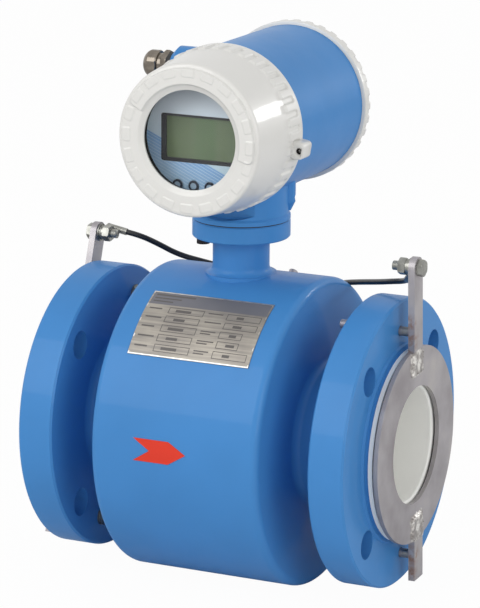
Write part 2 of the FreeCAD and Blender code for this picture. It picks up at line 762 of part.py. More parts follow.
def window_retainer():
    """Threaded ring that holds the glass in."""
    ring = tube(GLASS_R, RETAINER_BORE_R, HEAD + Y_AXIS * GLASS_BACK_Y, Y_AXIS, RETAINER_T)
    for degrees in (90, 270):
        slot = on_head(GLASS_R - 1.8, degrees, GLASS_BACK_Y + RETAINER_T / 2)
        ring = ring.cut(rod(1.0, slot, Y_AXIS, RETAINER_T))
    return ring


def cover_lock_screw():
    """Socket set screw in the cover's lug."""
    start = on_head(LOCK_SCREW_OFFSET, LUG_ANGLE, FRONT_RIM_Y - LUG_LENGTH + 1.5)
    body = rod(LOCK_SCREW_R, start, Y_AXIS, LUG_LENGTH - 1.5)
    return body.cut(hexagon(LOCK_SCREW_R, start, Y_AXIS, 2.5))


def seal_ring(y, toward):
    """Round seal ring in a spigot's groove."""
    middle = y + toward * SEAL_GROOVE_W / 2
    return Part.makeTorus(SPIGOT_R - SEAL_R, SEAL_R, HEAD + Y_AXIS * middle, Y_AXIS)


def rear_cover():
    """Plain rear cover with the same grip teeth and a stepped end."""
    y0 = REAR_RIM_Y
    end = y0 + REAR_COVER_LENGTH
    grip_y = y0 + REAR_GRIP_LENGTH
    thread_r = SPIGOT_R + THREAD_CLEARANCE
    land_r = SPIGOT_R + 2 * SEAL_GAP
    land_y = BARREL_REAR_Y + SEAL_GROOVE_W + 2
    r = COVER_CORNER_R
    inner_y = end - COVER_WALL
    body = turned([
        (y0, land_r), (y0, RIM_R - 0.6), (y0 + 0.6, RIM_R), (grip_y - 1.4, RIM_R),
        (grip_y, SKIRT_R - 0.6), (end - r, REAR_END_R + 2),
        corner((end - r, REAR_END_R + 2 - r), r, (45, 0)),
        (end, REAR_END_R - 9), (end - 1.2, REAR_END_R - 10.2), (end - 1.2, 0),
        (inner_y - 1.2, 0), (inner_y - 1.2, SPIGOT_R - 5), (inner_y - 4, SPIGOT_R - 2.5),
        (SPIGOT_REAR_Y + 0.8, SPIGOT_R - 2.5), (SPIGOT_REAR_Y + 0.8, thread_r),
        (land_y, thread_r), (land_y, land_r),
    ], HEAD, Y_AXIS)
    return body.cut(grip_recesses(REAR_RIM_Y, REAR_GRIP_LENGTH, 1))


# ---- display and boards ----

def round_board(radius, y):
    """Round printed board whose front face is at y."""
    return rod(radius, HEAD + Y_AXIS * y, Y_AXIS, BOARD_T)


def standoff_places():
    """Points round the head's axis where the boards are held."""
    return [on_head(STANDOFF_CIRCLE_R, degrees, 0) for degrees in STANDOFF_ANGLES]


def standoffs():
    """Pillars between the partition, the boards and the display panel."""
    spans = [(MAIN_BOARD_Y + BOARD_T, PARTITION_FRONT_Y),
             (DISPLAY_BOARD_Y + BOARD_T, MAIN_BOARD_Y),
             (PANEL_FRONT_Y + PANEL_T, DISPLAY_BOARD_Y),
             (PARTITION_REAR_Y, POWER_BOARD_Y)]
    pillars = []
    for at in standoff_places():
        for low, high in spans:
            pillars.append(rod(STANDOFF_R, at + Y_AXIS * low, Y_AXIS, high - low))
    return group(pillars)


def key_places():
    """Centres of the keys, left to right."""
    first = -KEY_PITCH * (KEY_COUNT - 1) / 2
    return [HEAD + Vector(first + KEY_PITCH * k, 0, -KEY_DROP) for k in range(KEY_COUNT)]


def display_panel():
    """Front plate of the display, cut out for the glass and the keys."""
    panel = rod(PANEL_R, HEAD + Y_AXIS * PANEL_FRONT_Y, Y_AXIS, PANEL_T)
    middle = HEAD_Z - LCD_DROP
    window = block((-LCD_HALF_W, PANEL_FRONT_Y - 1, middle - LCD_HALF_H),
                   (LCD_HALF_W, PANEL_FRONT_Y + 2 * PANEL_T, middle + LCD_HALF_H))
    panel = panel.cut(window)
    for at in key_places():
        panel = panel.cut(rod(KEY_R + KEY_CLEARANCE, at + Y_AXIS * (PANEL_FRONT_Y - 1), Y_AXIS,
                              2 * PANEL_T))
    return panel


def lcd_module():
    """Liquid crystal glass on its carrier, from the display board to the panel."""
    m = LCD_GLASS_MARGIN
    front = PANEL_FRONT_Y + PANEL_T
    middle = HEAD_Z - LCD_DROP
    play = LCD_PLAY
    carrier = block((-LCD_HALF_W - m, front, middle - LCD_HALF_H - m),
                    (LCD_HALF_W + m, DISPLAY_BOARD_Y, middle + LCD_HALF_H + m))
    glass = block((-LCD_HALF_W + play, front - PANEL_T / 2, middle - LCD_HALF_H + play),
                  (LCD_HALF_W - play, front, middle + LCD_HALF_H - play))
    return joined([carrier, glass])


def key(at):
    """Push key: a cap through the panel, with a collar behind it."""
    tip = PANEL_FRONT_Y - KEY_PROUD
    back = PANEL_FRONT_Y + PANEL_T
    collar = rod(KEY_R + 1.0, at + Y_AXIS * (back + 0.1), Y_AXIS, 1.2)
    cap = turned([(tip, 0), (tip, KEY_R - 0.6), (tip + 0.6, KEY_R), (back + 1.3, KEY_R),
                  (back + 1.3, 0)], at, Y_AXIS)
    stem = rod(1.6, at + Y_AXIS * back, Y_AXIS, DISPLAY_BOARD_Y - back - 1.0)
    return joined([cap, collar, stem])


def terminal_block():
    """Screw terminals on the power board, facing the rear cover."""
    wide, deep, tall = TERMINAL_SIZE
    y0 = POWER_BOARD_Y + BOARD_T
    body = block((-wide / 2, y0, HEAD_Z - tall / 2), (wide / 2, y0 + deep, HEAD_Z + tall / 2))
    pitch = wide / TERMINAL_COUNT
    for k in range(TERMINAL_COUNT):
        x = -wide / 2 + pitch * (k + 0.5)
        body = body.cut(rod(pitch * 0.32, Vector(x, y0 + deep - 5, HEAD_Z + tall * 0.16), Y_AXIS, 6))
        body = body.cut(block((x - pitch * 0.3, y0 + 3, HEAD_Z - tall / 2 - 1),
                              (x + pitch * 0.3, y0 + deep - 4, HEAD_Z - tall / 2 + 6)))
    return body


def transformer():
    """Potted supply block on the board's inner side."""
    wide, deep, tall = TRANSFORMER_SIZE
    return block((-wide / 2, POWER_BOARD_Y - deep, HEAD_Z - tall / 2),
                 (wide / 2, POWER_BOARD_Y, HEAD_Z + tall / 2))


# ---- cable gland and blanking plug (made outwards, towards -X) ----

def gland_body():
    """Gland body: threaded shank, hexagon and the nut's thread."""
    face = entry_centre(1)
    out = X_AXIS * -1
    hex_start = face + out * GLAND_WASHER_T
    neck_start = hex_start + out * GLAND_HEX_T
    body = joined([rod(ENTRY_THREAD_R, face - out * SHANK_LENGTH, out, SHANK_LENGTH + GLAND_WASHER_T),
                   hexagon(GLAND_AF, hex_start, out, GLAND_HEX_T),
                   rod(GLAND_NECK_R, neck_start, out, GLAND_NECK_LENGTH)])
    bore_start = face - out * SHANK_LENGTH
    return body.cut(rod(GLAND_BORE_R, bore_start, out, 10 * SHANK_LENGTH))


def gland_washer():
    """Sealing washer under the gland and under the plug."""
    washers = []
    for sign in (1, -1):
        washers.append(tube(GLAND_WASHER_R, ENTRY_THREAD_R, entry_centre(sign), X_AXIS * -1,
                            GLAND_WASHER_T))
    return group(washers)


def gland_nut():
    """Domed nut with grip flats."""
    start = entry_centre(1) - X_AXIS * (GLAND_WASHER_T + GLAND_HEX_T + GLAND_NUT_GAP)
    out = X_AXIS * -1
    long = GLAND_NUT_LENGTH
    dome = turned([
        (0, GLAND_NECK_R), (0, GLAND_NUT_R - 0.7), (0.7, GLAND_NUT_R), (long - 4, GLAND_NUT_R),
        ((long - 1.6, GLAND_NUT_R - 1.2), (long, GLAND_MOUTH_R + 0.9)),
        (long, GLAND_MOUTH_R), (long - 2.6, GLAND_MOUTH_R), (long - 2.6, GLAND_NECK_R),
    ], start, out)
    return dome.common(hexagon(2 * GLAND_NUT_R * 0.955, start, out, long))


def gland_seal():
    """Rubber bush that closes on the cable."""
    start = entry_centre(1) - X_AXIS * (GLAND_WASHER_T + GLAND_HEX_T)
    return tube(GLAND_BORE_R, GLAND_CABLE_R, start, X_AXIS * -1, GLAND_NECK_LENGTH)


def blanking_plug():
    """Hexagon plug in the spare entry."""
    face = entry_centre(-1)
    out = X_AXIS * -1
    return joined([rod(ENTRY_THREAD_R, face - out * SHANK_LENGTH, out, SHANK_LENGTH + GLAND_WASHER_T),
                   hexagon(GLAND_AF, face + out * GLAND_WASHER_T, out, PLUG_HEX_T)])


# ---- plates on the drum ----

def drum_skin(thickness, low_x, high_x):
    """Thin layer on the drum's surface."""
    return tube(DRUM_R + thickness, DRUM_R, Vector(low_x, 0, 0), X_AXIS, high_x - low_x)


def nameplate():
    """Rolled metal plate on the drum's upper front."""
    low, high = PLATE_ANGLES
    reach = 2 * DRUM_R
    tips = [Vector(PLATE_X[0], 0, 0)]
    for degrees in (low, (low + high) / 2, high):
        tips.append(leaned(reach, -degrees) + X_AXIS * PLATE_X[0])
    wedge = Part.Face(Part.makePolygon(tips + [tips[0]])).extrude(X_AXIS * (PLATE_X[1] - PLATE_X[0]))
    return drum_skin(PLATE_T, *PLATE_X).common(wedge)


def flow_arrow():
    """Flow direction arrow with a notched tail, on the drum's front."""
    tail = ARROW_TIP_X - ARROW_LENGTH
    neck = ARROW_TIP_X - ARROW_HEAD_LENGTH
    corners = [(tail, ARROW_HALF_H), (neck, ARROW_HALF_H), (ARROW_TIP_X, 0),
               (neck, -ARROW_HALF_H), (tail, -ARROW_HALF_H), (tail + ARROW_NOTCH, 0)]
    points = [Vector(x, -2 * DRUM_R, ARROW_Z + z) for x, z in corners]
    prism = Part.Face(Part.makePolygon(points + [points[0]])).extrude(Y_AXIS * 2 * DRUM_R)
    return drum_skin(ARROW_T, tail - 1, ARROW_TIP_X + 1).common(prism)


# ---- grounding rings (made for the outlet, ear straight up) ----

def at_inlet(shape):
    """Mirror image for the inlet, leaned with its ring."""
    return turned_about_x(mirrored_x(shape), RING_INLET_TURN)


def at_outlet(shape):
    """Copy leaned with the outlet's ring."""
    return turned_about_x(shape, RING_OUTLET_TURN)


def ground_ring(ear_reach):
    """Ring against the liner's flare, with ear, tail and two studs welded on."""
    ring = tube(RING_R, RING_BORE_R, Vector(RING_BACK_X, 0, 0), X_AXIS, RING_T)
    half = BAR_W / 2
    ear = joined([block((RING_BACK_X, -half, BAR_INNER), (BAR_FACE_X, half, ear_reach)),
                  rod(half, Vector(RING_BACK_X, 0, ear_reach), X_AXIS, BAR_T)])
    ear = ear.cut(rod(STUD_R, Vector(RING_BACK_X, 0, ear_reach), X_AXIS, BAR_T))
    tail = block((RING_BACK_X, -half, -TAIL_REACH), (BAR_FACE_X, half, -BAR_INNER))
    studs = [rod(STUD_R, Vector(STUD_END_X, 0, z), X_AXIS, RING_BACK_X - STUD_END_X)
             for z in (STUD_REACH, -STUD_REACH)]
    return joined([ring, ear, tail] + studs)


def ring_nuts():
    """For each stud: a washer and a nut behind the flange."""
    pieces = []
    for z in (STUD_REACH, -STUD_REACH):
        at = Vector(0, 0, z)
        stud = rod(STUD_R, at, X_AXIS, RING_BACK_X)
        washer = rod(M6_WASHER_R, at + X_AXIS * (FLANGE_BACK_X - M6_WASHER_T), X_AXIS, M6_WASHER_T)
        nut = hexagon(M6_AF, at + X_AXIS * (FLANGE_BACK_X - M6_WASHER_T - M6_NUT_T), X_AXIS, M6_NUT_T)
        pieces += [p.cut(stud) for p in (washer, nut)]
    return pieces


def ring_gasket():
    """Soft gasket between the liner's flare and the grounding ring."""
    return tube(RING_GASKET_R, TUBE_BORE_R, Vector(FLARE_X, 0, 0), X_AXIS, RING_GASKET_T)


def ear_stack():
    """Positions along X inside an ear: washer, lug, spring washer, nut, end of the bolt."""
    washer = RING_BACK_X - M6_WASHER_T
    lug_x = washer - LUG_PLATE_T
    spring = lug_x - EAR_SPRING_WASHER_T
    nut = spring - M6_NUT_T
    return washer, lug_x, spring, nut, nut - EAR_TIP_LENGTH


def ear_bolt(reach):
    """Hexagon bolt through the ear, with a coned end."""
    end = ear_stack()[-1]
    cone = STUD_R
    shank = turned([(end, 0), (end, STUD_R - cone / 2), (end + cone, STUD_R), (BAR_FACE_X, STUD_R),
                    (BAR_FACE_X, 0)], Vector(0, 0, reach), X_AXIS)
    return joined([shank, hexagon(M6_AF, Vector(BAR_FACE_X, 0, reach), X_AXIS, M6_HEAD_T)])


def ear_nuts(reach):
    """Flat washer, spring washer and nut on the ear's bolt."""
    washer, lug_x, spring, nut, end = ear_stack()
    shank = rod(STUD_R, Vector(0, 0, reach), X_AXIS, RING_BACK_X)
    pieces = [rod(M6_WASHER_R, Vector(washer, 0, reach), X_AXIS, M6_WASHER_T),
              rod(M6_SPRING_R, Vector(spring, 0, reach), X_AXIS, EAR_SPRING_WASHER_T),
              hexagon(M6_AF, Vector(nut, 0, reach), X_AXIS, M6_NUT_T)]
    return [p.cut(shank) for p in pieces]


# ---- grounding leads ----

def lug(eye, normal, outward, along):
    """Crimp lug: eye plate, tongue outward past the nut, then a barrel in direction along.

    normal points from the plate towards the nut or head that clamps it."""
    side = normal.cross(outward)
    tip = eye + outward * TONGUE
    corners = [eye - side * CRIMP_R, eye + side * CRIMP_R, tip + side * CRIMP_R, tip - side * CRIMP_R]
    tongue = Part.Face(Part.makePolygon(corners + [corners[0]])).extrude(normal * LUG_PLATE_T)
    start = tip + normal * (CRIMP_R + BARREL_RISE)
    if abs(along.dot(normal)) > 0.7:
        start = tip
    barrel = rod(CRIMP_R, start, along, CRIMP_LENGTH)
    body = joined([rod(LUG_EYE_R, eye, normal, LUG_PLATE_T), tongue,
                   rod(CRIMP_R, tip, normal, LUG_PLATE_T), barrel])
    return body.cut(rod(STUD_R, eye, normal, LUG_PLATE_T)), start + along * CRIMP_LENGTH


def ground_stud_frame():
    """Foot of the ground stud on the drum, and its outward direction."""
    out = leaned(1, GROUND_STUD_ANGLE)
    return out * DRUM_R, out


def ground_stud():
    """Welded pad and stud on the drum's rear shoulder."""
    foot, out = ground_stud_frame()
    pad = rod(GROUND_STUD_PAD_R, foot - out * 3, out, GROUND_STUD_PAD_H + 3).cut(drum_blank())
    stud = rod(STUD_R, foot + out * GROUND_STUD_PAD_H, out, GROUND_STUD_H - GROUND_STUD_PAD_H)
    return joined([pad, stud])


def ground_stud_nut():
    """Washer and nut that clamp both leads' lugs."""
    foot, out = ground_stud_frame()
    start = foot + out * (GROUND_STUD_PAD_H + 2 * LUG_PLATE_T)
    stud = rod(STUD_R, foot, out, GROUND_STUD_H)
    washer = rod(M6_WASHER_R, start, out, M6_WASHER_T).cut(stud)
    nut = hexagon(M6_AF, start + out * M6_WASHER_T, out, M6_NUT_T).cut(stud)
    return group([washer, nut])


def lead_lugs():
    """The four crimp lugs, each with the point where its lead leaves the barrel."""
    foot, out = ground_stud_frame()
    level = foot + out * GROUND_STUD_PAD_H
    inlet_eye = leaned(EAR_REACH_INLET, RING_INLET_TURN) - X_AXIS * ear_stack()[0]
    inlet_ear = lug(inlet_eye, X_AXIS, Vector(0, 0.97, 0.24).normalize(),
                    Vector(0.97, 0.1, -0.2).normalize())
    outlet_eye = leaned(EAR_REACH_OUTLET, RING_OUTLET_TURN) + X_AXIS * ear_stack()[0]
    outlet_ear = lug(outlet_eye, X_AXIS * -1, Vector(0, 0.75, -0.66).normalize(),
                     Vector(-0.5, 0.72, -0.48).normalize())
    inlet_stud = lug(level, out, X_AXIS * -1, X_AXIS * -1)
    outlet_stud = lug(level + out * LUG_PLATE_T, out, X_AXIS, X_AXIS)
    return inlet_ear, inlet_stud, outlet_ear, outlet_stud


# Points of each lead between its two crimp barrels.
INLET_ROUTE = [(-99.5, 48.9, 106.3), (-90.5, 57.6, 99.9), (-77.6, 65.0, 91.6),
               (-60.0, 70.5, 87.2), (-41.0, 77.0, 82.4)]
OUTLET_ROUTE = [(109.6, 17.5, 103.6), (97.0, 24.8, 100.4), (83.0, 35.5, 96.2),
                (63.0, 51.5, 90.6), (44.0, 65.5, 85.0)]


def lead(points, name):
    """Lead along straight runs joined by arcs, as large as the runs allow."""
    edges = []
    radii = []
    last = points[0]
    for before, at, after in zip(points, points[1:], points[2:]):
        inward = (at - before).normalize()
        outward = (after - at).normalize()
        turn = inward.getAngle(outward)
        reach = 0.45 * min((at - before).Length, (after - at).Length)
        radius = reach / math.tan(turn / 2)
        radii.append((round(radius, 1), round(math.degrees(turn), 1)))
        start = at - inward * reach
        end = at + outward * reach
        bisector = (outward - inward).normalize()
        middle = at + bisector * (radius / math.cos(turn / 2) - radius)
        edges.append(Part.LineSegment(last, start).toShape())
        edges.append(Part.Arc(start, middle, end).toShape())
        last = end
    edges.append(Part.LineSegment(last, points[-1]).toShape())
    path = Part.Wire(edges)
    direction = (points[1] - points[0]).normalize()
    section = Part.Wire([Part.makeCircle(LEAD_R, points[0], direction)])
    solid = path.makePipeShell([section], True, False)
    print(name, "length", round(path.Length, 1), "radii and turns", radii,
          "volume share", round(solid.Volume / (math.pi * LEAD_R ** 2 * path.Length), 4))
    return solid


def build():
    """All sub-parts by node name."""
    parts = {}
    parts["measuring_tube"] = measuring_tube()
    parts["liner"] = liner()
    parts["flange_inlet"] = mirrored_x(drilled_flange(RING_INLET_TURN))
    parts["flange_outlet"] = drilled_flange(RING_OUTLET_TURN)
    parts["coil_housing_shell"] = coil_housing_shell()
    parts["end_plate_inlet"] = mirrored_x(end_plate())
    parts["end_plate_outlet"] = end_plate()

    parts["flux_yoke"] = flux_yoke()
    parts["electrode_rear"] = electrode()
    parts["electrode_front"] = turned_about_x(electrode(), 180)
    for name, maker in (("pole_shoes", pole_shoe), ("coil_cores", core), ("bobbins", bobbin),
                        ("coils", coil), ("electrode_posts", electrode_post),
                        ("electrode_sleeves", electrode_sleeve),
                        ("electrode_nuts", electrode_nut)):
        parts[name] = group([maker(), turned_about_x(maker(), 180)])

    parts["neck_pipe"] = neck_pipe()
    parts["neck_flange"] = neck_flange()
    parts["neck_gasket"] = neck_gasket()
    parts["neck_bolts"] = neck_bolts()
    parts["head_housing"] = head_housing()

    parts["front_cover"] = front_cover()
    parts["window_glass"] = window_glass()
    parts["window_retainer"] = window_retainer()
    parts["cover_lock_screw"] = cover_lock_screw()
    parts["front_cover_seal"] = seal_ring(BARREL_FRONT_Y, -1)
    parts["rear_cover"] = rear_cover()
    parts["rear_cover_seal"] = seal_ring(BARREL_REAR_Y, 1)

    parts["main_board"] = round_board(BOARD_R, MAIN_BOARD_Y)
    parts["display_board"] = round_board(BOARD_R, DISPLAY_BOARD_Y)
    parts["power_board"] = round_board(BOARD_R, POWER_BOARD_Y)
    parts["board_standoffs"] = standoffs()
    parts["lcd_module"] = lcd_module()
    parts["display_panel"] = display_panel()
    for number, at in enumerate(key_places(), start=1):
        parts["key_%d" % number] = key(at)
    parts["terminal_block"] = terminal_block()
    parts["transformer"] = transformer()

    parts["gland_body"] = gland_body()
    parts["gland_nut"] = gland_nut()
    parts["gland_seal"] = gland_seal()
    parts["entry_washers"] = gland_washer()
    parts["blanking_plug"] = blanking_plug()

    parts["nameplate"] = nameplate()
    parts["flow_arrow"] = flow_arrow()

    parts["ground_ring_inlet"] = at_inlet(ground_ring(EAR_REACH_INLET))
    parts["ground_ring_outlet"] = at_outlet(ground_ring(EAR_REACH_OUTLET))
    parts["ring_gaskets"] = group([mirrored_x(ring_gasket()), ring_gasket()])
    parts["ring_nuts"] = group([at_inlet(p) for p in ring_nuts()]
                               + [at_outlet(p) for p in ring_nuts()])
    parts["ear_nuts"] = group([at_inlet(p) for p in ear_nuts(EAR_REACH_INLET)]
                              + [at_outlet(p) for p in ear_nuts(EAR_REACH_OUTLET)])
    parts["ear_bolts"] = group([at_inlet(ear_bolt(EAR_REACH_INLET)),
                                at_outlet(ear_bolt(EAR_REACH_OUTLET))])

    inlet_ear, inlet_stud, outlet_ear, outlet_stud = lead_lugs()
    parts["lead_lugs"] = group([body for body, end in (inlet_ear, inlet_stud, outlet_ear, outlet_stud)])
    parts["ground_stud"] = ground_stud()
    parts["ground_stud_nut"] = ground_stud_nut()
    parts["ground_lead_inlet"] = lead(
        [inlet_ear[1]] + [Vector(*p) for p in INLET_ROUTE] + [inlet_stud[1]], "inlet lead")
    parts["ground_lead_outlet"] = lead(
        [outlet_ear[1]] + [Vector(*p) for p in OUTLET_ROUTE] + [outlet_stud[1]], "outlet lead")
    print("lead ends", [tuple(round(c, 2) for c in end) for body, end in
                        (inlet_ear, inlet_stud, outlet_ear, outlet_stud)])
    return parts


def main():
    """Write one STEP file per sub-part."""
    os.makedirs("parts", exist_ok=True)
    for name, shape in build().items():
        shape.exportStep("parts/%s.step" % name)
        print("%-20s solids %d valid %s volume %.0f" % (name, len(shape.Solids), shape.isValid(),
                                                        shape.Volume))


main()
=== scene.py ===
"""Looks of a flanged electromagnetic flow meter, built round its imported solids.

The liquid flows along +X, the neck rises along +Z and the display faces -Y.
"""
import json
import math

import bmesh
import bpy
import numpy as np
from mathutils import Matrix, Vector


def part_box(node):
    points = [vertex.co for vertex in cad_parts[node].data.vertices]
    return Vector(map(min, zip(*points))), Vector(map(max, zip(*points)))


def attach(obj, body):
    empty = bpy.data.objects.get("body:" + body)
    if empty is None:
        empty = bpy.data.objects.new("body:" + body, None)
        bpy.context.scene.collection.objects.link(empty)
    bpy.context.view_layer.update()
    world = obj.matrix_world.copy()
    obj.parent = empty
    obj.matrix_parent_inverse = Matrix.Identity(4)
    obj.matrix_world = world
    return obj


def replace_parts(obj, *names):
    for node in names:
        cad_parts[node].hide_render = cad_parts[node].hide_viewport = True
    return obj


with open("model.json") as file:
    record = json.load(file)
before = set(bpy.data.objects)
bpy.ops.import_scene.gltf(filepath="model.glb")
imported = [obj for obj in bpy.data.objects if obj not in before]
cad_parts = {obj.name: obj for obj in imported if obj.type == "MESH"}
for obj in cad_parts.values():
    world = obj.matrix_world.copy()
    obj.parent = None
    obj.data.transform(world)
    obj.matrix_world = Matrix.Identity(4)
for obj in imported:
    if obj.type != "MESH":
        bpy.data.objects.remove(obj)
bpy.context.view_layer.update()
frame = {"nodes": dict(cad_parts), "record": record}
scene = bpy.context.scene
nodes = frame["nodes"]

MM = 0.001

# ---- places read from the frame, in metres ----
DRUM_LOW, DRUM_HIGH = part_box("coil_housing_shell")
COVER_LOW, COVER_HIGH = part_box("front_cover")
SEAL_LOW, SEAL_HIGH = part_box("front_cover_seal")
REAR_LOW, REAR_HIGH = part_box("rear_cover")
PLATE_LOW, PLATE_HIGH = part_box("nameplate")
SCREEN_LOW, SCREEN_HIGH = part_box("lcd_module")
SCREW_LOW, SCREW_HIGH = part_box("cover_lock_screw")
RING_FACE_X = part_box("ground_ring_outlet")[1].x
PANEL_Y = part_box("display_panel")[0].y
HEAD_Z = (SEAL_LOW.z + SEAL_HIGH.z) / 2
FLOOR_Z = DRUM_LOW.z

# ---- the same in millimetres ----
DRUM_MM = (DRUM_HIGH.y - DRUM_LOW.y) / 2 / MM
HEAD_MM = HEAD_Z / MM
BEZEL_MM = COVER_LOW.y / MM
RIM_MM = COVER_HIGH.y / MM

# ---- grounding rings and their bars, in millimetres and degrees ----
RING_R = 65.2
BAR_HALF = 7.0
BAR_END = 50.0                  # inner end of each bar, from the bore's axis
BAR_RISE = 1.5                  # bar's face over its ring's face
SIDES = ((1, -3.0, "outlet"), (-1, 19.0, "inlet"))      # side along X, lean of the ear


# ---- meshes from numpy arrays ----

def new_object(name, points, faces, material, body):
    """One mesh object at the origin, with a finish and a body to ride on."""
    mesh = bpy.data.meshes.new(name)
    mesh.from_pydata(points.reshape(-1, 3).tolist(), [], faces)
    mesh.update()
    piece = bpy.data.objects.new(name, mesh)
    scene.collection.objects.link(piece)
    mesh.materials.append(material)
    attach(piece, body)
    return piece


def grid_faces(rows, columns, wrap_rows, wrap_columns, first=0):
    """Quads between the points of a rows by columns grid, numbered row by row."""
    i = np.arange(rows if wrap_rows else rows - 1)
    j = np.arange(columns if wrap_columns else columns - 1)
    a = (i[:, None] * columns + j[None, :]).ravel()
    b = (i[:, None] * columns + (j[None, :] + 1) % columns).ravel()
    c = (((i[:, None] + 1) % rows) * columns + (j[None, :] + 1) % columns).ravel()
    d = (((i[:, None] + 1) % rows) * columns + j[None, :]).ravel()
    return (np.stack([a, b, c, d], 1) + first).tolist()


def smooth(piece, angle):
    """Merge doubles, point the faces outwards and shade smooth up to an edge angle.

    Merging leaves bare edges where a surface meets its own axis; those go."""
    work = bmesh.new()
    work.from_mesh(piece.data)
    bmesh.ops.remove_doubles(work, verts=work.verts, dist=1e-6)
    bmesh.ops.dissolve_degenerate(work, edges=work.edges, dist=1e-7)
    bare = [edge for edge in work.edges if not edge.link_faces]
    bmesh.ops.delete(work, geom=bare, context="EDGES")
    bmesh.ops.recalc_face_normals(work, faces=work.faces)
    limit = math.radians(angle)
    for face in work.faces:
        face.smooth = True
    for edge in work.edges:
        edge.smooth = len(edge.link_faces) == 2 and edge.calc_face_angle(0.0) < limit
    work.to_mesh(piece.data)
    work.free()
    return piece


# ---- finishes ----

def shader(name, colour, roughness, metallic=0.0, **more):
    """Principled material whose plain values sit on its own sockets."""
    material = bpy.data.materials.new(name)
    material.use_nodes = True
    tree = material.node_tree
    principled = tree.nodes["Principled BSDF"]
    principled.inputs["Base Color"].default_value = (*colour, 1)
    principled.inputs["Roughness"].default_value = roughness
    principled.inputs["Metallic"].default_value = metallic
    for socket, value in more.items():
        principled.inputs[socket.replace("_", " ")].default_value = value
    return material, tree, principled


def srgb(red, green, blue):
    """Linear colour from display values of 0 to 255."""
    c = np.array([red, green, blue]) / 255
    return tuple(np.where(c <= 0.04045, c / 12.92, ((c + 0.055) / 1.055) ** 2.4).tolist())


def node(tree, kind, **settings):
    """New node with some of its properties and inputs set."""
    made = tree.nodes.new(kind)
    for key, value in settings.items():
        if hasattr(made, key):
            setattr(made, key, value)
        else:
            made.inputs[key.replace("_", " ")].default_value = value
    return made


def noise(tree, scale, detail=3.0, stretch=None):
    """Noise over the object's own coordinates, in cycles per metre."""
    place = node(tree, "ShaderNodeTexCoord")
    wave = node(tree, "ShaderNodeTexNoise", Scale=scale, Detail=detail)
    if stretch:
        squeeze = node(tree, "ShaderNodeMapping")
        squeeze.inputs["Scale"].default_value = stretch
        tree.links.new(place.outputs["Object"], squeeze.inputs["Vector"])
        tree.links.new(squeeze.outputs["Vector"], wave.inputs["Vector"])
    else:
        tree.links.new(place.outputs["Object"], wave.inputs["Vector"])
    return wave.outputs["Fac"]


def ramp(tree, value, stops):
    """Colour ramp through (position, colour) stops."""
    made = node(tree, "ShaderNodeValToRGB")
    elements = made.color_ramp.elements
    while len(elements) < len(stops):
        elements.new(0.5)
    for element, (position, colour) in zip(elements, stops):
        element.position = position
        element.color = (*colour, 1)
    tree.links.new(value, made.inputs["Fac"])
    return made.outputs["Color"]


def bump(tree, principled, height, strength, distance):
    """Relief of a height value, in metres."""
    made = node(tree, "ShaderNodeBump", Strength=strength, Distance=distance)
    tree.links.new(height, made.inputs["Height"])
    tree.links.new(made.outputs["Normal"], principled.inputs["Normal"])


def scaled(tree, value, low, high, first=0.0, last=1.0, kind="LINEAR"):
    """Value of first to last moved to the range low to high."""
    made = node(tree, "ShaderNodeMapRange", interpolation_type=kind)
    for socket, number in (("From Min", first), ("From Max", last), ("To Min", low), ("To Max", high)):
        made.inputs[socket].default_value = number
    tree.links.new(value, made.inputs["Value"])
    return made.outputs["Result"]


def paint(name, colour, roughness, peel, shift=0.04, gloss=0.1, coat=0.15):
    """Sprayed coat: slight clouding in the colour, and orange peel in the surface."""
    material, tree, principled = shader(name, colour, roughness, Coat_Weight=coat,
                                        Coat_Roughness=0.07, Specular_IOR_Level=gloss)
    dark = tuple(c * (1 - shift) for c in colour)
    light = tuple(min(1.0, c * (1 + shift)) for c in colour)
    cloud = ramp(tree, noise(tree, 18.0, 4.0), [(0.3, dark), (0.7, light)])
    tree.links.new(cloud, principled.inputs["Base Color"])
    tree.links.new(scaled(tree, noise(tree, 60.0), roughness * 0.85, roughness * 1.2),
                   principled.inputs["Roughness"])
    bump(tree, principled, noise(tree, peel, 2.0), 0.25, 0.00012)
    return material


BLUE = srgb(70, 136, 200)
WHITE = srgb(222, 221, 217)
STEEL = srgb(165, 161, 160)
RUST = srgb(128, 84, 52)


def spot(tree, centre, reach):
    """1 at a point on the object, falling to 0 at a distance of reach."""
    place = node(tree, "ShaderNodeTexCoord")
    away = node(tree, "ShaderNodeVectorMath", operation="DISTANCE")
    away.inputs[1].default_value = centre
    tree.links.new(place.outputs["Object"], away.inputs[0])
    return scaled(tree, away.outputs["Value"], 1.0, 0.0, 0.0, reach, "SMOOTHSTEP")


def calc(tree, operation, first, second):
    """Result of a sum on two values, each a socket or a number."""
    made = node(tree, "ShaderNodeMath", operation=operation)
    for k, value in enumerate((first, second)):
        if isinstance(value, (int, float)):
            made.inputs[k].default_value = value
        else:
            tree.links.new(value, made.inputs[k])
    return made.outputs["Value"]


def blended(tree, share, first, second):
    """Mix of two colours, each a socket or a plain colour, by a share of 0 to 1."""
    made = node(tree, "ShaderNodeMix", data_type="RGBA")
    tree.links.new(share, made.inputs[0])
    for k, value in ((6, first), (7, second)):
        if isinstance(value, tuple):
            made.inputs[k].default_value = (*value, 1)
        else:
            tree.links.new(value, made.inputs[k])
    return made.outputs[2]


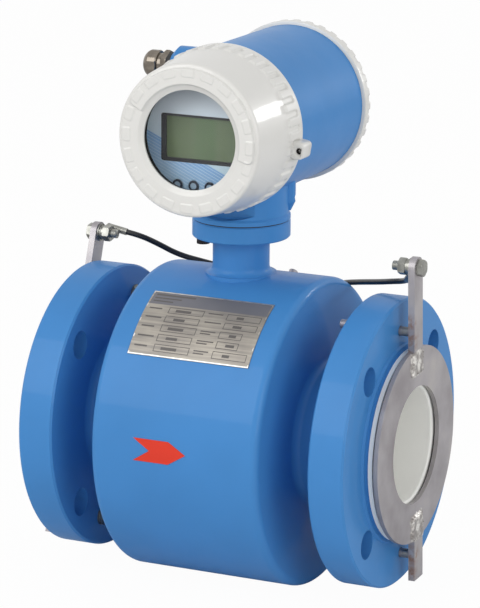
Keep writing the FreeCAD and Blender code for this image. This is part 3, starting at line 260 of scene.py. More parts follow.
def ring_steel():
    """Rolled stainless plate: rolling lines, dull patches and rust beside the bars."""
    material, tree, principled = shader("ring_steel", STEEL, 0.42, 0.6)
    stain = ramp(tree, noise(tree, 28.0, 5.0),
                 [(0.35, srgb(148, 143, 146)), (0.6, srgb(172, 168, 171)), (0.8, srgb(188, 184, 180))])
    bar_x = RING_FACE_X - 0.0035
    rust = 0.0
    for y, z, reach in ((-0.0115, 0.0705, 0.013), (-0.0125, 0.0835, 0.008),
                        (-0.0035, -0.0745, 0.012), (-0.0035, -0.0865, 0.009)):
        rust = calc(tree, "MAXIMUM", rust, spot(tree, (bar_x, y, z), reach))
    patchy = ramp(tree, noise(tree, 240.0, 4.0), [(0.38, (0, 0, 0)), (0.6, (1, 1, 1))])
    rust = calc(tree, "MULTIPLY", rust, patchy)
    tree.links.new(blended(tree, rust, stain, RUST), principled.inputs["Base Color"])
    tree.links.new(calc(tree, "SUBTRACT", 0.6, calc(tree, "MULTIPLY", rust, 0.6)),
                   principled.inputs["Metallic"])
    tree.links.new(scaled(tree, noise(tree, 90.0, 4.0), 0.34, 0.55), principled.inputs["Roughness"])
    bump(tree, principled, noise(tree, 900.0, 3.0, (1, 1, 0.12)), 0.35, 0.00006)
    return material


def weld_bead():
    """Uncleaned weld: dull steel with smoother drops; the drops' near-white colour is a painted glint.
    """
    material, tree, principled = shader("weld_bead", STEEL, 0.35, 0.6)
    drops_and_glints = noise(tree, 170.0, 3.0)
    # the near-white end of this ramp is a painted glint on the drops, not the steel's own colour
    tree.links.new(ramp(tree, drops_and_glints, [(0.44, srgb(158, 153, 150)), (0.6, srgb(236, 233, 228))]),
                   principled.inputs["Base Color"])
    tree.links.new(scaled(tree, drops_and_glints, 0.5, 0.2), principled.inputs["Roughness"])
    bump(tree, principled, noise(tree, 420.0, 3.0), 0.3, 0.0001)
    return material


def plated(name, colour, roughness):
    """Plated fastener: fine mottling and faint stains."""
    material, tree, principled = shader(name, colour, roughness, 0.9)
    dull = tuple(c * 0.72 for c in colour)
    tree.links.new(ramp(tree, noise(tree, 160.0, 4.0), [(0.35, dull), (0.6, colour)]),
                   principled.inputs["Base Color"])
    tree.links.new(scaled(tree, noise(tree, 420.0, 4.0), roughness * 0.7, roughness * 1.5),
                   principled.inputs["Roughness"])
    bump(tree, principled, noise(tree, 700.0, 3.0), 0.2, 0.00004)
    return material


def plain(name, colour, roughness, grain=500.0, depth=0.00005, metallic=0.0, shift=0.05):
    """Moulded plastic, rubber or board: fine grain and slight clouding."""
    material, tree, principled = shader(name, colour, roughness, metallic)
    dark = tuple(c * (1 - shift) for c in colour)
    light = tuple(min(1.0, c * (1 + shift)) for c in colour)
    tree.links.new(ramp(tree, noise(tree, grain / 12), [(0.35, dark), (0.65, light)]),
                   principled.inputs["Base Color"])
    tree.links.new(scaled(tree, noise(tree, grain / 4), roughness * 0.85, min(1.0, roughness * 1.15)),
                   principled.inputs["Roughness"])
    bump(tree, principled, noise(tree, grain, 3.0), 0.3, depth)
    return material


def screen_glass():
    """Unlit liquid crystal: olive, with faint upright bands and finer rows."""
    material, tree, principled = shader("screen_glass", srgb(104, 122, 92), 0.25)
    bands = noise(tree, 60.0, 2.0, (1, 1, 0.04))
    tone = ramp(tree, bands, [(0.3, srgb(84, 100, 66)), (0.55, srgb(96, 110, 84)),
                              (0.75, srgb(88, 108, 78))])
    tree.links.new(tone, principled.inputs["Base Color"])
    bump(tree, principled, noise(tree, 900.0, 2.0), 0.1, 0.00002)
    return material


SLOPE, STRIPE_PITCH = 0.45, 0.0021


def panel_print():
    """Printed front plate: pale blue-grey, deeper below a slanted line, with thin stripes.

    slant = height + slope * width, measured from the head's axis.  The ground deepens in one
    step where slant is low, and stripes repeat at their pitch of slant under that step."""
    material, tree, principled = shader("panel_print", srgb(140, 162, 180), 0.3)
    place = node(tree, "ShaderNodeTexCoord")
    split = node(tree, "ShaderNodeSeparateXYZ")
    tree.links.new(place.outputs["Object"], split.inputs["Vector"])
    height = calc(tree, "SUBTRACT", split.outputs["Z"], HEAD_Z)
    slant = calc(tree, "ADD", height, calc(tree, "MULTIPLY", split.outputs["X"], SLOPE))
    ground = ramp(tree, scaled(tree, height, 0.0, 1.0, -0.036, 0.03),
                  [(0.0, srgb(170, 196, 212)), (0.45, srgb(190, 208, 220)), (0.8, srgb(202, 211, 222)),
                   (1.0, srgb(186, 194, 206))])
    below = scaled(tree, slant, 1.0, 0.0, -0.0175, -0.0165, "SMOOTHSTEP")
    deep = calc(tree, "MULTIPLY", below, scaled(tree, slant, 0.15, 0.85, -0.046, -0.017))
    colour = blended(tree, deep, ground, srgb(92, 144, 200))
    wave = calc(tree, "SINE", calc(tree, "MULTIPLY", slant, 2 * math.pi / STRIPE_PITCH), 0.0)
    stripe = calc(tree, "MULTIPLY", calc(tree, "GREATER_THAN", wave, 0.72),
                  calc(tree, "MULTIPLY", below, 0.5))
    colour = blended(tree, stripe, colour, srgb(196, 214, 228))
    tree.links.new(colour, principled.inputs["Base Color"])
    return material


def label_metal():
    """Brushed nameplate: fine lengthwise lines, warm grey."""
    material, tree, principled = shader("label_metal", srgb(168, 162, 152), 0.45, 0.45)
    lines = noise(tree, 500.0, 2.0, (0.04, 1, 1))
    tone = ramp(tree, lines, [(0.3, srgb(150, 145, 138)), (0.7, srgb(182, 175, 163))])
    cloud = ramp(tree, noise(tree, 40.0, 3.0), [(0.35, (0.78, 0.78, 0.8)), (0.65, (1, 1, 1))])
    mix = node(tree, "ShaderNodeMix", data_type="RGBA", blend_type="MULTIPLY")
    mix.inputs[0].default_value = 1.0
    tree.links.new(tone, mix.inputs[6])
    tree.links.new(cloud, mix.inputs[7])
    tree.links.new(mix.outputs[2], principled.inputs["Base Color"])
    bump(tree, principled, lines, 0.2, 0.00003)
    return material


def window_pane():
    """Clear glass that lets the lamps' light through to the display."""
    material, tree, principled = shader("window_pane", (0.97, 0.985, 0.98), 0.02,
                                        Transmission_Weight=1.0, IOR=1.25)
    clear = node(tree, "ShaderNodeBsdfTransparent")
    mix = node(tree, "ShaderNodeMixShader")
    path = node(tree, "ShaderNodeLightPath")
    out = tree.nodes["Material Output"]
    tree.links.new(path.outputs["Is Shadow Ray"], mix.inputs["Fac"])
    tree.links.new(principled.outputs["BSDF"], mix.inputs[1])
    tree.links.new(clear.outputs["BSDF"], mix.inputs[2])
    tree.links.new(mix.outputs["Shader"], out.inputs["Surface"])
    return material


FINISHES = {
    "blue_paint": paint("sprayed_blue", BLUE, 0.42, 260.0),
    "white_cover": paint("cover_white", WHITE, 0.34, 420.0, 0.012, 0.5, 0.35),
    "stainless": ring_steel(),
    "zinc_plated": plated("zinc", srgb(160, 160, 154), 0.3),
    "nickel_brass": plated("nickel", srgb(132, 124, 114), 0.17),
    "liner_ptfe": plain("liner_white", srgb(247, 247, 243), 0.5, 60.0, 0.00005, shift=0.015),
    "black_rubber": plain("black_rubber", srgb(34, 35, 36), 0.6),
    "dark_screws": plated("blackened_screws", srgb(52, 50, 52), 0.45),
    "window_glass": window_pane(),
    "display_glass": screen_glass(),
    "panel_face": panel_print(),
    "key_rubber": plain("key_rubber", srgb(140, 162, 182), 0.45),
    "circuit_board": plain("circuit_board", srgb(31, 91, 58), 0.4),
    "board_plastic": plain("board_plastic", srgb(40, 43, 46), 0.5),
    "copper_wire": plated("winding_copper", srgb(178, 105, 60), 0.35),
    "core_steel": plain("core_steel", srgb(96, 98, 101), 0.5, metallic=0.8),
    "label_metal": label_metal(),
    "arrow_red": paint("arrow_red", srgb(222, 62, 44), 0.42, 300.0),
    "lead_sheath": plain("lead_sheath", srgb(28, 29, 33), 0.32, 240.0, 0.00008),
}
PRINT_INK = plain("print_ink", srgb(92, 88, 86), 0.5, 300.0)
HEADER_GREY = plain("header_grey", srgb(116, 116, 122), 0.4, 300.0, metallic=0.3)
RING_INK = plain("ring_ink", srgb(14, 24, 44), 0.4, 400.0)
# dark border of the screen: partly its bezel, partly painted shade of the screen's recess
BORDER_AND_PAINTED_SHADE = plain("border_and_painted_shade", srgb(22, 22, 30), 0.5, 400.0)
WELD_BEAD = weld_bead()
EDGE_BRIGHT = plated("edge_bright", srgb(222, 220, 214), 0.3)


def dress_frame():
    """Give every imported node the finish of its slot; the steel tube is painted outside."""
    slots = {s["node"]: s["material_slot"] for s in frame["record"]["subparts"]}
    slots["measuring_tube"] = "blue_paint"
    for name, piece in nodes.items():
        piece.data.materials.clear()
        piece.data.materials.append(FINISHES[slots[name]])


# ---- covers of the head ----

STEPS = 720                     # points round a cover
SHADE_BREAK = 52.0              # degrees between faces at which a cover's edge stays sharp


def ease(value, low, high):
    """Smooth step: 0 up to low, 1 from high, with level ends."""
    t = np.clip((value - low) / (high - low), 0, 1)
    return t * t * (3 - 2 * t)


def stepped(outline):
    """Points along an outline of (y, radius, steps), each side cut into that many steps."""
    points = []
    for k, (y, radius, steps) in enumerate(outline):
        after = outline[(k + 1) % len(outline)]
        share = np.linspace(0, 1, steps, endpoint=False)[:, None]
        points.append(np.array([[y, radius]]) * (1 - share) + np.array([[after[0], after[1]]]) * share)
    return np.vstack(points)


def arc(centre_y, centre_r, radius, first, last, steps):
    """Outline points on an arc; angles are counted from outwards towards +Y."""
    t = np.radians(np.linspace(first, last, steps))
    return [(centre_y + radius * math.sin(a), centre_r + radius * math.cos(a), 1) for a in t]


RIM_R = (REAR_HIGH.x - REAR_LOW.x) / 2 / MM
SKIRT_R = RIM_R - 1.3
BAND, FRONT_GRIP, REAR_GRIP = 4.0, 19.0, 9.0            # lengths from the rim
GRIPS, RECESS_HALF = 36, 2.1
MOUTH_R, THREAD_R, CAVITY_R, SHELF_R = 48.6, 48.1, 45.5, 43.0


def with_grip(along, radius, turn, rim, outward):
    """Radius after the grip recesses are pressed in.

    Each recess is a slot open towards the skirt whose closed end is a half circle:
    gap = distance from its middle line - half its width, and the radius falls to the skirt's
    where gap is under zero, with soft walls."""
    pitch = 2 * math.pi / GRIPS
    across = ((turn % pitch) - pitch / 2) * RIM_R
    past = (along - rim) * outward - BAND
    gap = np.hypot(across, np.minimum(past - RECESS_HALF, 0)) - RECESS_HALF
    pressed = 1 - ease(gap, -0.75, 0.55)
    return radius - np.maximum(radius - SKIRT_R, 0) * pressed


BROW_MIDDLE, BROW_HALF = math.radians(69.0), math.radians(84.0)
BROW_EDGE, BROW_RISE = 46.4, 1.6
CONE_R = 35.6                   # outer edge of the window's cone
TABLETS, TABLET_R, TABLET_RISE = 20, 43.6, 0.45
TABLET_TURN = math.radians(1.0)


def bezel_rise(radius, turn):
    """How far the bezel's face stands proud.

    The brow is a half ring whose ends and rims fall smoothly.  Twenty low tablets, each
    a rounded oblong in arc length and radius, stand round the bezel's outer part."""
    from_middle = np.abs((turn - BROW_MIDDLE + math.pi) % (2 * math.pi) - math.pi)
    past_end = (from_middle - BROW_HALF) * radius
    corner = np.hypot(np.maximum(past_end + 4, 0), np.maximum(radius - BROW_EDGE + 4, 0)) - 4
    brow = (1 - ease(corner, -0.7, 0.3)) * ease(radius, CONE_R - 0.4, CONE_R + 0.9)
    pitch = 2 * math.pi / TABLETS
    across = np.abs((turn + TABLET_TURN + pitch / 2) % pitch - pitch / 2) * radius
    tall = np.abs(radius - TABLET_R)
    box = np.hypot(np.maximum(across - 3.2, 0), np.maximum(tall - 1.6, 0)) - 1.2
    tablet = 1 - ease(box, -0.35, 0.35)
    return BROW_RISE * brow + TABLET_RISE * tablet


def cover_points(outline, shape):
    """Points of a cover: angle t from +X up towards +Z, and outline point s.

    point(t, s) = (radius cos t, y, head height + radius sin t), where shape gives y and
    radius for every angle and outline point."""
    turn = np.linspace(0, 2 * np.pi, STEPS, endpoint=False)[:, None]
    along, radius = shape(outline[None, :, 0], outline[None, :, 1], turn)
    along = np.broadcast_to(along, radius.shape)
    return np.stack([radius * np.cos(turn), along, HEAD_MM + radius * np.sin(turn)], 2) * MM


def front_cover_shell():
    """Front cover with rim band, grip recesses, skirt, tablets, brow and window cone."""
    rim = RIM_MM
    bezel = BEZEL_MM + 0.9
    corner_r, bezel_r = 2.6, 49.2
    window_r, glass_r = 32.0, 37.2
    back = bezel + 3.7
    thread_end, seal_seat = -44.0, -28.4
    outline = [(rim, MOUTH_R, 1), (rim, RIM_R - 0.6, 2), (rim - 0.2, RIM_R - 0.15, 2),
               (rim - 0.6, RIM_R, 2), (rim - BAND + 0.6, RIM_R, 34),
               (rim - FRONT_GRIP + 1.4, RIM_R, 3), (rim - FRONT_GRIP, SKIRT_R, 6)]
    outline += arc(bezel + corner_r, bezel_r - corner_r, corner_r, 0, -90, 8)[:-1]
    outline += [(bezel, bezel_r - corner_r, 28), (bezel, CONE_R, 1), (bezel + 0.1, CONE_R - 0.3, 4),
                (bezel + 2.1, window_r + 0.15, 1), (bezel + 2.2, window_r, 1),
                (back - 0.2, window_r, 1), (back, window_r + 0.2, 1), (back, glass_r, 1),
                (back + 6.9, glass_r, 1), (back + 6.9, SHELF_R, 1), (back + 8.4, CAVITY_R, 1),
                (thread_end, CAVITY_R, 1), (thread_end, THREAD_R, 1), (seal_seat, THREAD_R, 1),
                (seal_seat, MOUTH_R, 1)]

    def shape(along, radius, turn):
        outside = (along > bezel + 6) & (radius > 49)
        grip = with_grip(along, radius, turn, rim, -1)
        radius = np.where(outside, grip, np.broadcast_to(radius, grip.shape))
        face = (along < bezel + 3.2) & (radius > window_r + 2)
        return along - np.where(face, bezel_rise(radius, turn), 0), radius

    points = cover_points(stepped(outline), shape)
    faces = grid_faces(STEPS, points.shape[1], True, True)
    piece = new_object("front_cover_shell", points, faces, FINISHES["white_cover"],
                       "front_cover")
    return smooth(piece, SHADE_BREAK)


def rear_cover_shell():
    """Rear cover with the same rim band and recesses, and a stepped closed end."""
    rim = REAR_LOW.y / MM
    end = REAR_HIGH.y / MM
    corner_r, step_r = 2.6, 38.0
    face, inside = end - 1.2, end - 5.2
    thread_end, seal_seat = rim + 9.8, rim + 5.0
    outline = [(rim, MOUTH_R, 1), (rim, RIM_R - 0.6, 2), (rim + 0.2, RIM_R - 0.15, 2),
               (rim + 0.6, RIM_R, 2), (rim + BAND - 0.6, RIM_R, 12),
               (rim + REAR_GRIP - 1.0, RIM_R, 3), (rim + REAR_GRIP + 0.4, SKIRT_R - 0.6, 5),
               (end - 3.2, 49.8, 1)]
    outline += arc(end - corner_r, 46.6, corner_r, 25, 90, 7)
    outline += [(end, step_r + 0.4, 1), (end - 0.2, step_r, 1), (face + 0.1, step_r - 1.0, 1),
                (face, step_r - 1.4, 8), (face, 0.0, 1), (inside, 0.0, 1), (inside, SHELF_R, 1),
                (end - 8.0, CAVITY_R, 1), (thread_end, CAVITY_R, 1), (thread_end, THREAD_R, 1),
                (seal_seat, THREAD_R, 1), (seal_seat, MOUTH_R, 1)]

    def shape(along, radius, turn):
        outside = (along < end - 4) & (radius > 49)
        grip = with_grip(along, radius, turn, rim, 1)
        return along, np.where(outside, grip, np.broadcast_to(radius, grip.shape))

    points = cover_points(stepped(outline), shape)
    faces = grid_faces(STEPS, points.shape[1], True, True)
    piece = new_object("rear_cover_shell", points, faces, FINISHES["white_cover"],
                       "rear_cover")
    return smooth(piece, SHADE_BREAK)


def corner_turns(steps):
    """Quarter number and angle of every point of a loop with four arcs of so many points."""
    quarter = np.repeat(np.arange(4), steps)
    return quarter, (quarter + np.tile(np.linspace(0, 1, steps), 4)) * (math.pi / 2)


def oblong(half_width, half_height, corner_r, steps):
    """Closed loop of a rounded oblong: each corner circle's centre plus its quarter arc."""
    quarter, turn = corner_turns(steps)
    right, up = np.array([1, -1, -1, 1])[quarter], np.array([1, 1, -1, -1])[quarter]
    return np.stack([right * (half_width - corner_r) + corner_r * np.cos(turn),
                     up * (half_height - corner_r) + corner_r * np.sin(turn)], 1)


def cover_lug():
    """Lug for the locking screw: rounded block with a countersunk screw hole.

    Loops of one count are carried along Y: the block's oblong grows from its rear edge,
    keeps its size, rounds off at the front and shrinks to the hole's circle."""
    hole = Vector(((SCREW_LOW.x + SCREW_HIGH.x) / 2, 0, (SCREW_LOW.z + SCREW_HIGH.z) / 2))
    length, reach, half_height = 13.0, 60.4, 5.5
    hole_r, sink_r = 2.05, 2.65
    lean = math.atan2(hole.z - HEAD_Z, hole.x)
    at = math.hypot(hole.z - HEAD_Z, hole.x) / MM
    middle = (SKIRT_R - 3 + reach) / 2
    steps = 8
    count = 4 * steps
    turn = corner_turns(steps)[1]
    circle = np.stack([np.cos(turn), np.sin(turn)], 1)

    def block_loop(shrink):
        return oblong(reach - middle - shrink, half_height - shrink, 2.8 - min(shrink, 2.0), steps)

    def hole_loop(radius):
        return circle * radius + [at - middle, 0]

    front = RIM_MM - length
    rows = [(RIM_MM, block_loop(0.3)), (RIM_MM - 0.3, block_loop(0)),
            (front + 1.2, block_loop(0)), (front + 0.6, block_loop(0.18)),
            (front + 0.2, block_loop(0.6)), (front, block_loop(1.2)), (front, hole_loop(sink_r + 0.25)),
            (front + 0.25, hole_loop(sink_r)), (front + 0.8, hole_loop(hole_r)),
            (front + 3.0, hole_loop(hole_r)), (front + 3.0, hole_loop(0.02))]
    flat = []
    for y, loop in rows:
        out, side = loop[:, 0] + middle, loop[:, 1]
        flat.append(np.stack([out * math.cos(lean) - side * math.sin(lean), np.full(count, y),
                              HEAD_MM + out * math.sin(lean) + side * math.cos(lean)], 1))
    points = np.array(flat) * MM
    faces = grid_faces(len(rows), count, False, True)
    faces.append(list(range(count)))
    faces.append(list(range((len(rows) - 1) * count, len(rows) * count)))
    piece = new_object("cover_lug", points, faces, FINISHES["white_cover"], "front_cover")
    return smooth(piece, 50.0)


def make_covers():
    """Both covers, each standing for its solid."""
    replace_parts(front_cover_shell(), "front_cover")
    cover_lug()
    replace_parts(rear_cover_shell(), "rear_cover")


# ---- display ----

def flat_ring(name, outer, inner, front, back, centre, material, body):
    """Thin ring between two loops of one count, lying in the XZ plane."""
    rows = [(front, outer), (front, inner), (back, inner), (back, outer)]
    points = np.array([np.stack([loop[:, 0] + centre[0], np.full(len(loop), y),
                                 loop[:, 1] + centre[1]], 1) for y, loop in rows]) * MM
    faces = grid_faces(len(rows), points.shape[1], True, True)
    return smooth(new_object(name, points, faces, material, body), 30.0)


def make_display():
    """Dark border round the screen, partly its bezel and partly painted shade of its recess, wider at
    the left and bottom; and an inked ring round each key.
    """
    panel = PANEL_Y / MM
    middle_x = (SCREEN_LOW.x + SCREEN_HIGH.x) / 2 / MM
    middle_z = (SCREEN_LOW.z + SCREEN_HIGH.z) / 2 / MM
    half_w, half_h, overlap = 28.3, 14.9, 0.5
    ring_outer, ring_inner = 3.45, 2.1
    outer = oblong(half_w + overlap, half_h + overlap, 1.6, 6)
    # inner loop set off towards the upper right, so the border is wider at the left and bottom: painted
    # shade of the recess
    inner = oblong(half_w - 2.2, half_h - 1.5, 0.7, 6) + [0.9, 0.5]
    flat_ring("screen_border_and_painted_shade", outer, inner, panel - 0.12, panel + 0.9, (middle_x, middle_z),
              BORDER_AND_PAINTED_SHADE, "meter")
    turn = np.linspace(0, 2 * np.pi, 48, endpoint=False)
    circle = np.stack([np.cos(turn), np.sin(turn)], 1)
    for k in range(1, 5):
        name = "key_" + str(k)
        low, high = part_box(name)
        at = ((low.x + high.x) / 2 / MM, (low.z + high.z) / 2 / MM)
        face = low.y / MM
        flat_ring("ring_of_" + name, circle * ring_outer, circle * ring_inner, face - 0.08,
                  face + 0.5, at, RING_INK, name)


# ---- print on the nameplate ----

PLATE_R = DRUM_MM + 0.6
PLATE_FROM, PLATE_TO = math.radians(24.4), math.radians(53.5)    # from straight up to the front


def plate_strip(x_low, x_high, down_low, down_high, rise, rows=5):
    """Strip of the drum's skin.

    point(x, down) = (x, -radius sin angle, radius cos angle), with the angle from straight
    up to the front growing with the distance down the plate; rise is over the plate."""
    angle = PLATE_FROM + np.linspace(down_low, down_high, rows) / PLATE_R
    loops = []
    for height in (rise, -0.05):
        reach = PLATE_R + height
        for x in (x_low, x_high):
            loops.append(np.stack([np.full(rows, x), -reach * np.sin(angle),
                                   reach * np.cos(angle)], 1))
    order = [loops[0], loops[1], loops[3], loops[2]]
    points = np.stack(order, 1)
    faces = grid_faces(rows, 4, False, True)
    faces.append([0, 1, 2, 3])
    last = (rows - 1) * 4
    faces.append([last + 3, last + 2, last + 1, last])
    return points.reshape(-1, 3), faces


def printed(name, strips, rise, material):
    """One piece made of many strips of the plate's print."""
    points, faces, count = [], [], 0
    for strip in strips:
        more, quads = plate_strip(*strip, rise)
        points.append(more)
        faces += [[i + count for i in quad] for quad in quads]
        count += len(more)
    piece = new_object(name, np.vstack(points) * MM, faces, material, "meter")
    return smooth(piece, 30.0)


def frame_strips(x_low, x_high, down_low, down_high, line):
    """Four strips of a thin frame, a hair apart so that each is a closed body."""
    hair = 0.02
    top, low = down_low + line + hair, down_high - line - hair
    return [(x_low, x_high, down_low, top - hair), (x_low, x_high, low + hair, down_high),
            (x_low, x_low + line, top, low), (x_high - line, x_high, top, low)]


def make_plate_print():
    """Header band, five rows of label bars with framed fields, and a bright edge."""
    left, right = PLATE_LOW.x / MM, PLATE_HIGH.x / MM
    long = (PLATE_TO - PLATE_FROM) * PLATE_R
    header, line = 12.2, 0.45
    printed("plate_header", [(left + 1.0, right - 1.0, 1.0, header)], 0.02, HEADER_GREY)
    ink = [(left + 3, left + 31, 2.6, 4.2), (left + 3, left + 22, 5.9, 7.1),
           (left + 3, left + 17, 8.8, 9.9)]
    row_pitch = (long - header - 3.0) / 5
    for row in range(5):
        top = header + 1.6 + row_pitch * row
        low = top + row_pitch * 0.72
        shift = 0.6 * (row % 2)
        ink += frame_strips(left + 17, left + 42 - shift, top, low, line)
        ink += frame_strips(right - 27 + shift, right - (11 if row in (2, 3) else 3), top, low, line)
        ink.append((left + 3, left + 12 + shift * 4, top + 1.6, top + 2.7))
        ink.append((left + 45, right - 30 + shift * 2, top + 0.9, top + 1.8))
        if row > 1:
            ink.append((left + 45, right - 33, top + 2.7, top + 3.6))
        ink.append((left + 22 + 2 * shift, left + 33 - 3 * shift, top + 1.7, low - 1.6))
        ink.append((right - 20, right - 15 + 2 * shift, top + 1.7, low - 1.6))
    printed("plate_print", ink, 0.05, PRINT_INK)
    edge = frame_strips(left + 0.2, right - 0.2, 0.2, long - 0.2, 0.7)
    printed("plate_edge", edge, 0.06, EDGE_BRIGHT)


# ---- welds between the grounding rings and their bars ----

def lumps(across, radial, seed):
    """Uneven weld bead: a sum of sines of two directions with chosen phases."""
    return (np.sin(across * 1.9 + seed) * np.sin(radial * 1.6 + 2 * seed)
            + 0.6 * np.sin(across * 3.3 + radial * 2.1 + 3 * seed)) / 1.6


def ring_weld(name, side, lean, seed):
    """Bead where a bar is welded across its ring's face.

    Over a patch of the face (across, radial) the height is the bar's at its outline and
    falls off smoothly with the distance from it, with lumps on the slope."""
    low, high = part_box("ground_ring_outlet" if side > 0 else "ground_ring_inlet")
    ring_face = (high.x if side > 0 else -low.x) / MM - BAR_RISE
    rows, columns, margin = 40, 56, 6
    across = np.linspace(-BAR_HALF - margin, BAR_HALF + margin, columns)[None, :]
    share = np.linspace(0, 1, rows)[:, None]
    inner = BAR_END - margin
    outer = np.sqrt(RING_R ** 2 - across ** 2) - 0.3
    radial = inner + (outer - inner) * share
    across = np.broadcast_to(across, radial.shape)
    away = np.hypot(np.maximum(np.abs(across) - BAR_HALF, 0), np.maximum(BAR_END - radial, 0))
    reach = 3.4 + 1.3 * lumps(across * 0.45, radial * 0.4, seed)
    slope = 1 - ease(away / reach, 0.0, 1.0)
    uneven = lumps(across, radial, seed) * ease(slope, 0.02, 0.4)
    height = (BAR_RISE + 0.12) * slope + uneven * (0.2 + 0.8 * ease(away, 0, 1.2))
    height = np.maximum(height, 0.0) - 0.06 * (slope < 0.02)
    angle = math.radians(lean)
    layers = []
    for x in (ring_face + height, np.full(radial.shape, ring_face - 0.4)):
        y = radial * math.sin(angle) + across * math.cos(angle)
        z = radial * math.cos(angle) - across * math.sin(angle)
        layers.append(np.stack([x * side, y, z], 2))
    top, under = layers
    points = np.concatenate([top.reshape(-1, 3), under.reshape(-1, 3)])
    total = rows * columns
    faces = grid_faces(rows, columns, False, False)
    faces += [quad[::-1] for quad in grid_faces(rows, columns, False, False, total)]
    number = np.arange(total).reshape(rows, columns)
    edge = np.concatenate([number[0], number[1:, -1], number[-1, -2::-1], number[-2:0:-1, 0]])
    after = np.roll(edge, -1)
    faces += np.stack([edge, edge + total, after + total, after], 1).tolist()
    piece = new_object(name, points * MM, faces, WELD_BEAD, "meter")
    return smooth(piece, 60.0)


def make_welds():
    """Welds at the ear and at the tail of both rings."""
    for side, lean, word in SIDES:
        ring_weld("ear_weld_" + word, side, lean, 0.7)
        ring_weld("tail_weld_" + word, side, lean + 180, 2.1)


# ---- threads ----

ROD_R = 3.0
STUD_CIRCLE_R = 76.0


def thread(name, start, length):
    """Ridged sleeve round a rod along +X.

    The radius swings between the rod's own and a crest, as a triangle wave of
    distance / pitch - angle / full turn, so the ridge winds once per pitch."""
    pitch, crest, columns = 1.0, 0.22, 20
    rows = int(length / pitch * 6)
    along = np.linspace(0, length, rows)[:, None]
    turn = np.linspace(0, 2 * np.pi, columns, endpoint=False)[None, :]
    phase = (along / pitch - turn / (2 * np.pi)) % 1.0
    reach = ROD_R - 0.05 + crest * (1 - np.abs(2 * phase - 1))
    reach[0] = reach[-1] = ROD_R - 0.5
    x = np.broadcast_to(start[0] + along, reach.shape)
    points = np.stack([x, start[1] + reach * np.cos(turn), start[2] + reach * np.sin(turn)], 2) * MM
    faces = grid_faces(rows, columns, False, True)
    faces.append(list(range(columns))[::-1])
    faces.append(list(range((rows - 1) * columns, rows * columns)))
    piece = new_object(name, points, faces, FINISHES["zinc_plated"], "meter")
    return smooth(piece, 60.0)


def make_threads():
    """Threads on the ears' bolt tips and on the studs of both rings."""
    mesh = nodes["ear_bolts"].data
    places = np.empty(len(mesh.vertices) * 3)
    mesh.vertices.foreach_get("co", places)
    places = places.reshape(-1, 3) / MM
    tip, shown = 4.4, 7.0
    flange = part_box("flange_outlet")[1].x / MM - 2.2
    for side, lean, word in SIDES:
        own = places[places[:, 0] * side > 0]
        low, high = own.min(axis=0), own.max(axis=0)
        start = low[0] + 0.4 if side > 0 else high[0] - 0.4 - tip
        middle = (low + high) / 2
        thread("ear_thread_" + word, (start, middle[1], middle[2]), tip)
        for part, turn in (("ear", lean), ("tail", lean + 180)):
            a = math.radians(turn)
            start = flange if side > 0 else -flange - shown
            thread("stud_thread_" + part + "_" + word,
                   (start, STUD_CIRCLE_R * math.sin(a), STUD_CIRCLE_R * math.cos(a)), shown)


# ---- camera, lamps and floor ----

AZIMUTH, ELEVATION, ROLL = 25.05, 13.93, -0.42
TARGET = Vector((0.0004, 0.0, 0.0802))
DISTANCE = 2.1087
LENS = 189.8
SENSOR = 36.0


def make_camera():
    """Long lens from the front right, a little above."""
    az, el = math.radians(AZIMUTH), math.radians(ELEVATION)
    back = Vector((math.sin(az) * math.cos(el), -math.cos(az) * math.cos(el), math.sin(el)))
    data = bpy.data.cameras.new("camera")
    data.lens = LENS
    data.sensor_width = SENSOR
    data.shift_x = -0.0023
    data.shift_y = -0.0007
    camera = bpy.data.objects.new("camera", data)
    turn = (-back).to_track_quat("-Z", "Y").to_matrix().to_4x4()
    roll = Matrix.Rotation(math.radians(-ROLL), 4, "Z")
    camera.matrix_world = Matrix.Translation(TARGET + back * DISTANCE) @ turn @ roll
    scene.collection.objects.link(camera)
    scene.camera = camera


def lamp(name, place, aim, size, power):
    """Square soft lamp."""
    data = bpy.data.lights.new(name, "AREA")
    data.size = size
    data.energy = power
    made = bpy.data.objects.new(name, data)
    made.location = place
    made.rotation_euler = (Vector(aim) - Vector(place)).to_track_quat("-Z", "Y").to_euler()
    scene.collection.objects.link(made)


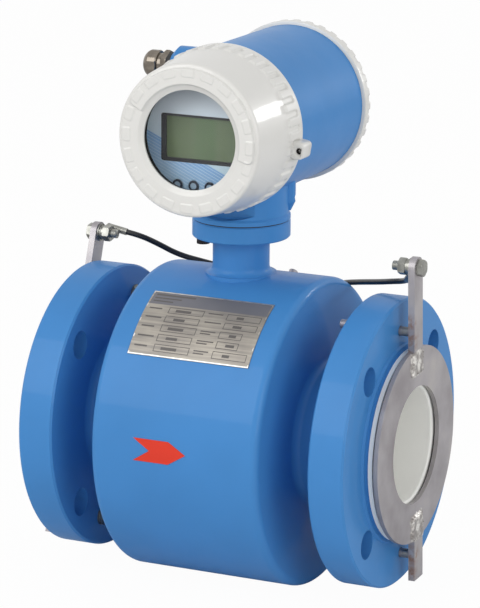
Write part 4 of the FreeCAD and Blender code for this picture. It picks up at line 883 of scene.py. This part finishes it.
def make_studio():
    """Pale floor and world that look white from the camera, and three soft lamps."""
    world = bpy.data.worlds.new("studio")
    scene.world = world
    world.use_nodes = True
    tree = world.node_tree
    background = tree.nodes["Background"]
    background.inputs["Color"].default_value = (1, 1, 1, 1)
    path = node(tree, "ShaderNodeLightPath")
    seen = calc(tree, "MAXIMUM", path.outputs["Is Camera Ray"], path.outputs["Is Transmission Ray"])
    seen = calc(tree, "MAXIMUM", seen, path.outputs["Is Glossy Ray"])
    tree.links.new(scaled(tree, seen, 0.55, 1.0), background.inputs["Strength"])

    half, level = 6.0, FLOOR_Z - 0.0002
    corners = [(-half, -half, level), (half, -half, level), (half, half, level), (-half, half, level)]
    mesh = bpy.data.meshes.new("floor")
    mesh.from_pydata(corners, [], [(0, 1, 2, 3)])
    floor = bpy.data.objects.new("floor", mesh)
    scene.collection.objects.link(floor)
    material, tree, principled = shader("floor_white", (0.78, 0.78, 0.78), 0.6)
    glow = node(tree, "ShaderNodeEmission", Strength=1.0)
    mix = node(tree, "ShaderNodeMixShader")
    tree.links.new(principled.outputs["BSDF"], mix.inputs[1])
    tree.links.new(glow.outputs["Emission"], mix.inputs[2])
    path = node(tree, "ShaderNodeLightPath")
    share = calc(tree, "MULTIPLY", path.outputs["Is Camera Ray"], 0.97)
    tree.links.new(share, mix.inputs["Fac"])
    tree.links.new(mix.outputs["Shader"], tree.nodes["Material Output"].inputs["Surface"])
    mesh.materials.append(material)

    middle = (0.0, 0.0, 0.08)
    lamp("key_lamp", (-1.2, -1.9, 1.5), middle, 1.8, 29)
    lamp("fill_lamp", (1.7, -1.0, 0.7), middle, 1.2, 10)
    lamp("window_lamp", (0.95, 1.3, 0.6), middle, 0.3, 3.4)


# ---- grounding leads ----

LEAD_D = 0.0038
INLET_ROUTE = [(-108.56, 47.84, 107.8), (-99.5, 48.9, 106.3), (-90.5, 57.6, 99.9),
               (-77.6, 65.0, 91.6), (-60.0, 70.5, 87.2), (-41.0, 77.0, 82.4),
               (-23.4, 76.51, 76.51)]
OUTLET_ROUTE = [(113.2, 10.89, 106.4), (109.6, 17.5, 103.6), (97.0, 24.8, 100.4),
                (83.0, 35.5, 96.2), (63.0, 51.5, 90.6), (44.0, 65.5, 85.0),
                (23.4, 77.15, 77.15)]


def grounding_lead(name, route, node_name):
    """Sheathed wire along a smooth line steered by the route's points."""
    curve = bpy.data.curves.new(name, "CURVE")
    curve.dimensions = "3D"
    spline = curve.splines.new("NURBS")
    spline.points.add(len(route) - 1)
    for point, place in zip(spline.points, route):
        point.co = (*[c * MM for c in place], 1)
    spline.order_u = 3
    spline.use_endpoint_u = True
    spline.resolution_u = 16
    curve.bevel_depth = LEAD_D / 2
    curve.bevel_resolution = 8
    curve.use_fill_caps = True
    curve.materials.append(FINISHES["lead_sheath"])
    piece = bpy.data.objects.new(name, curve)
    scene.collection.objects.link(piece)
    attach(piece, "meter")
    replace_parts(piece, node_name)


make_camera()
make_studio()
dress_frame()
make_covers()
make_display()
make_plate_print()
make_welds()
make_threads()
grounding_lead("inlet_lead", INLET_ROUTE, "ground_lead_inlet")
grounding_lead("outlet_lead", OUTLET_ROUTE, "ground_lead_outlet")

scene.view_settings.view_transform = "Standard"
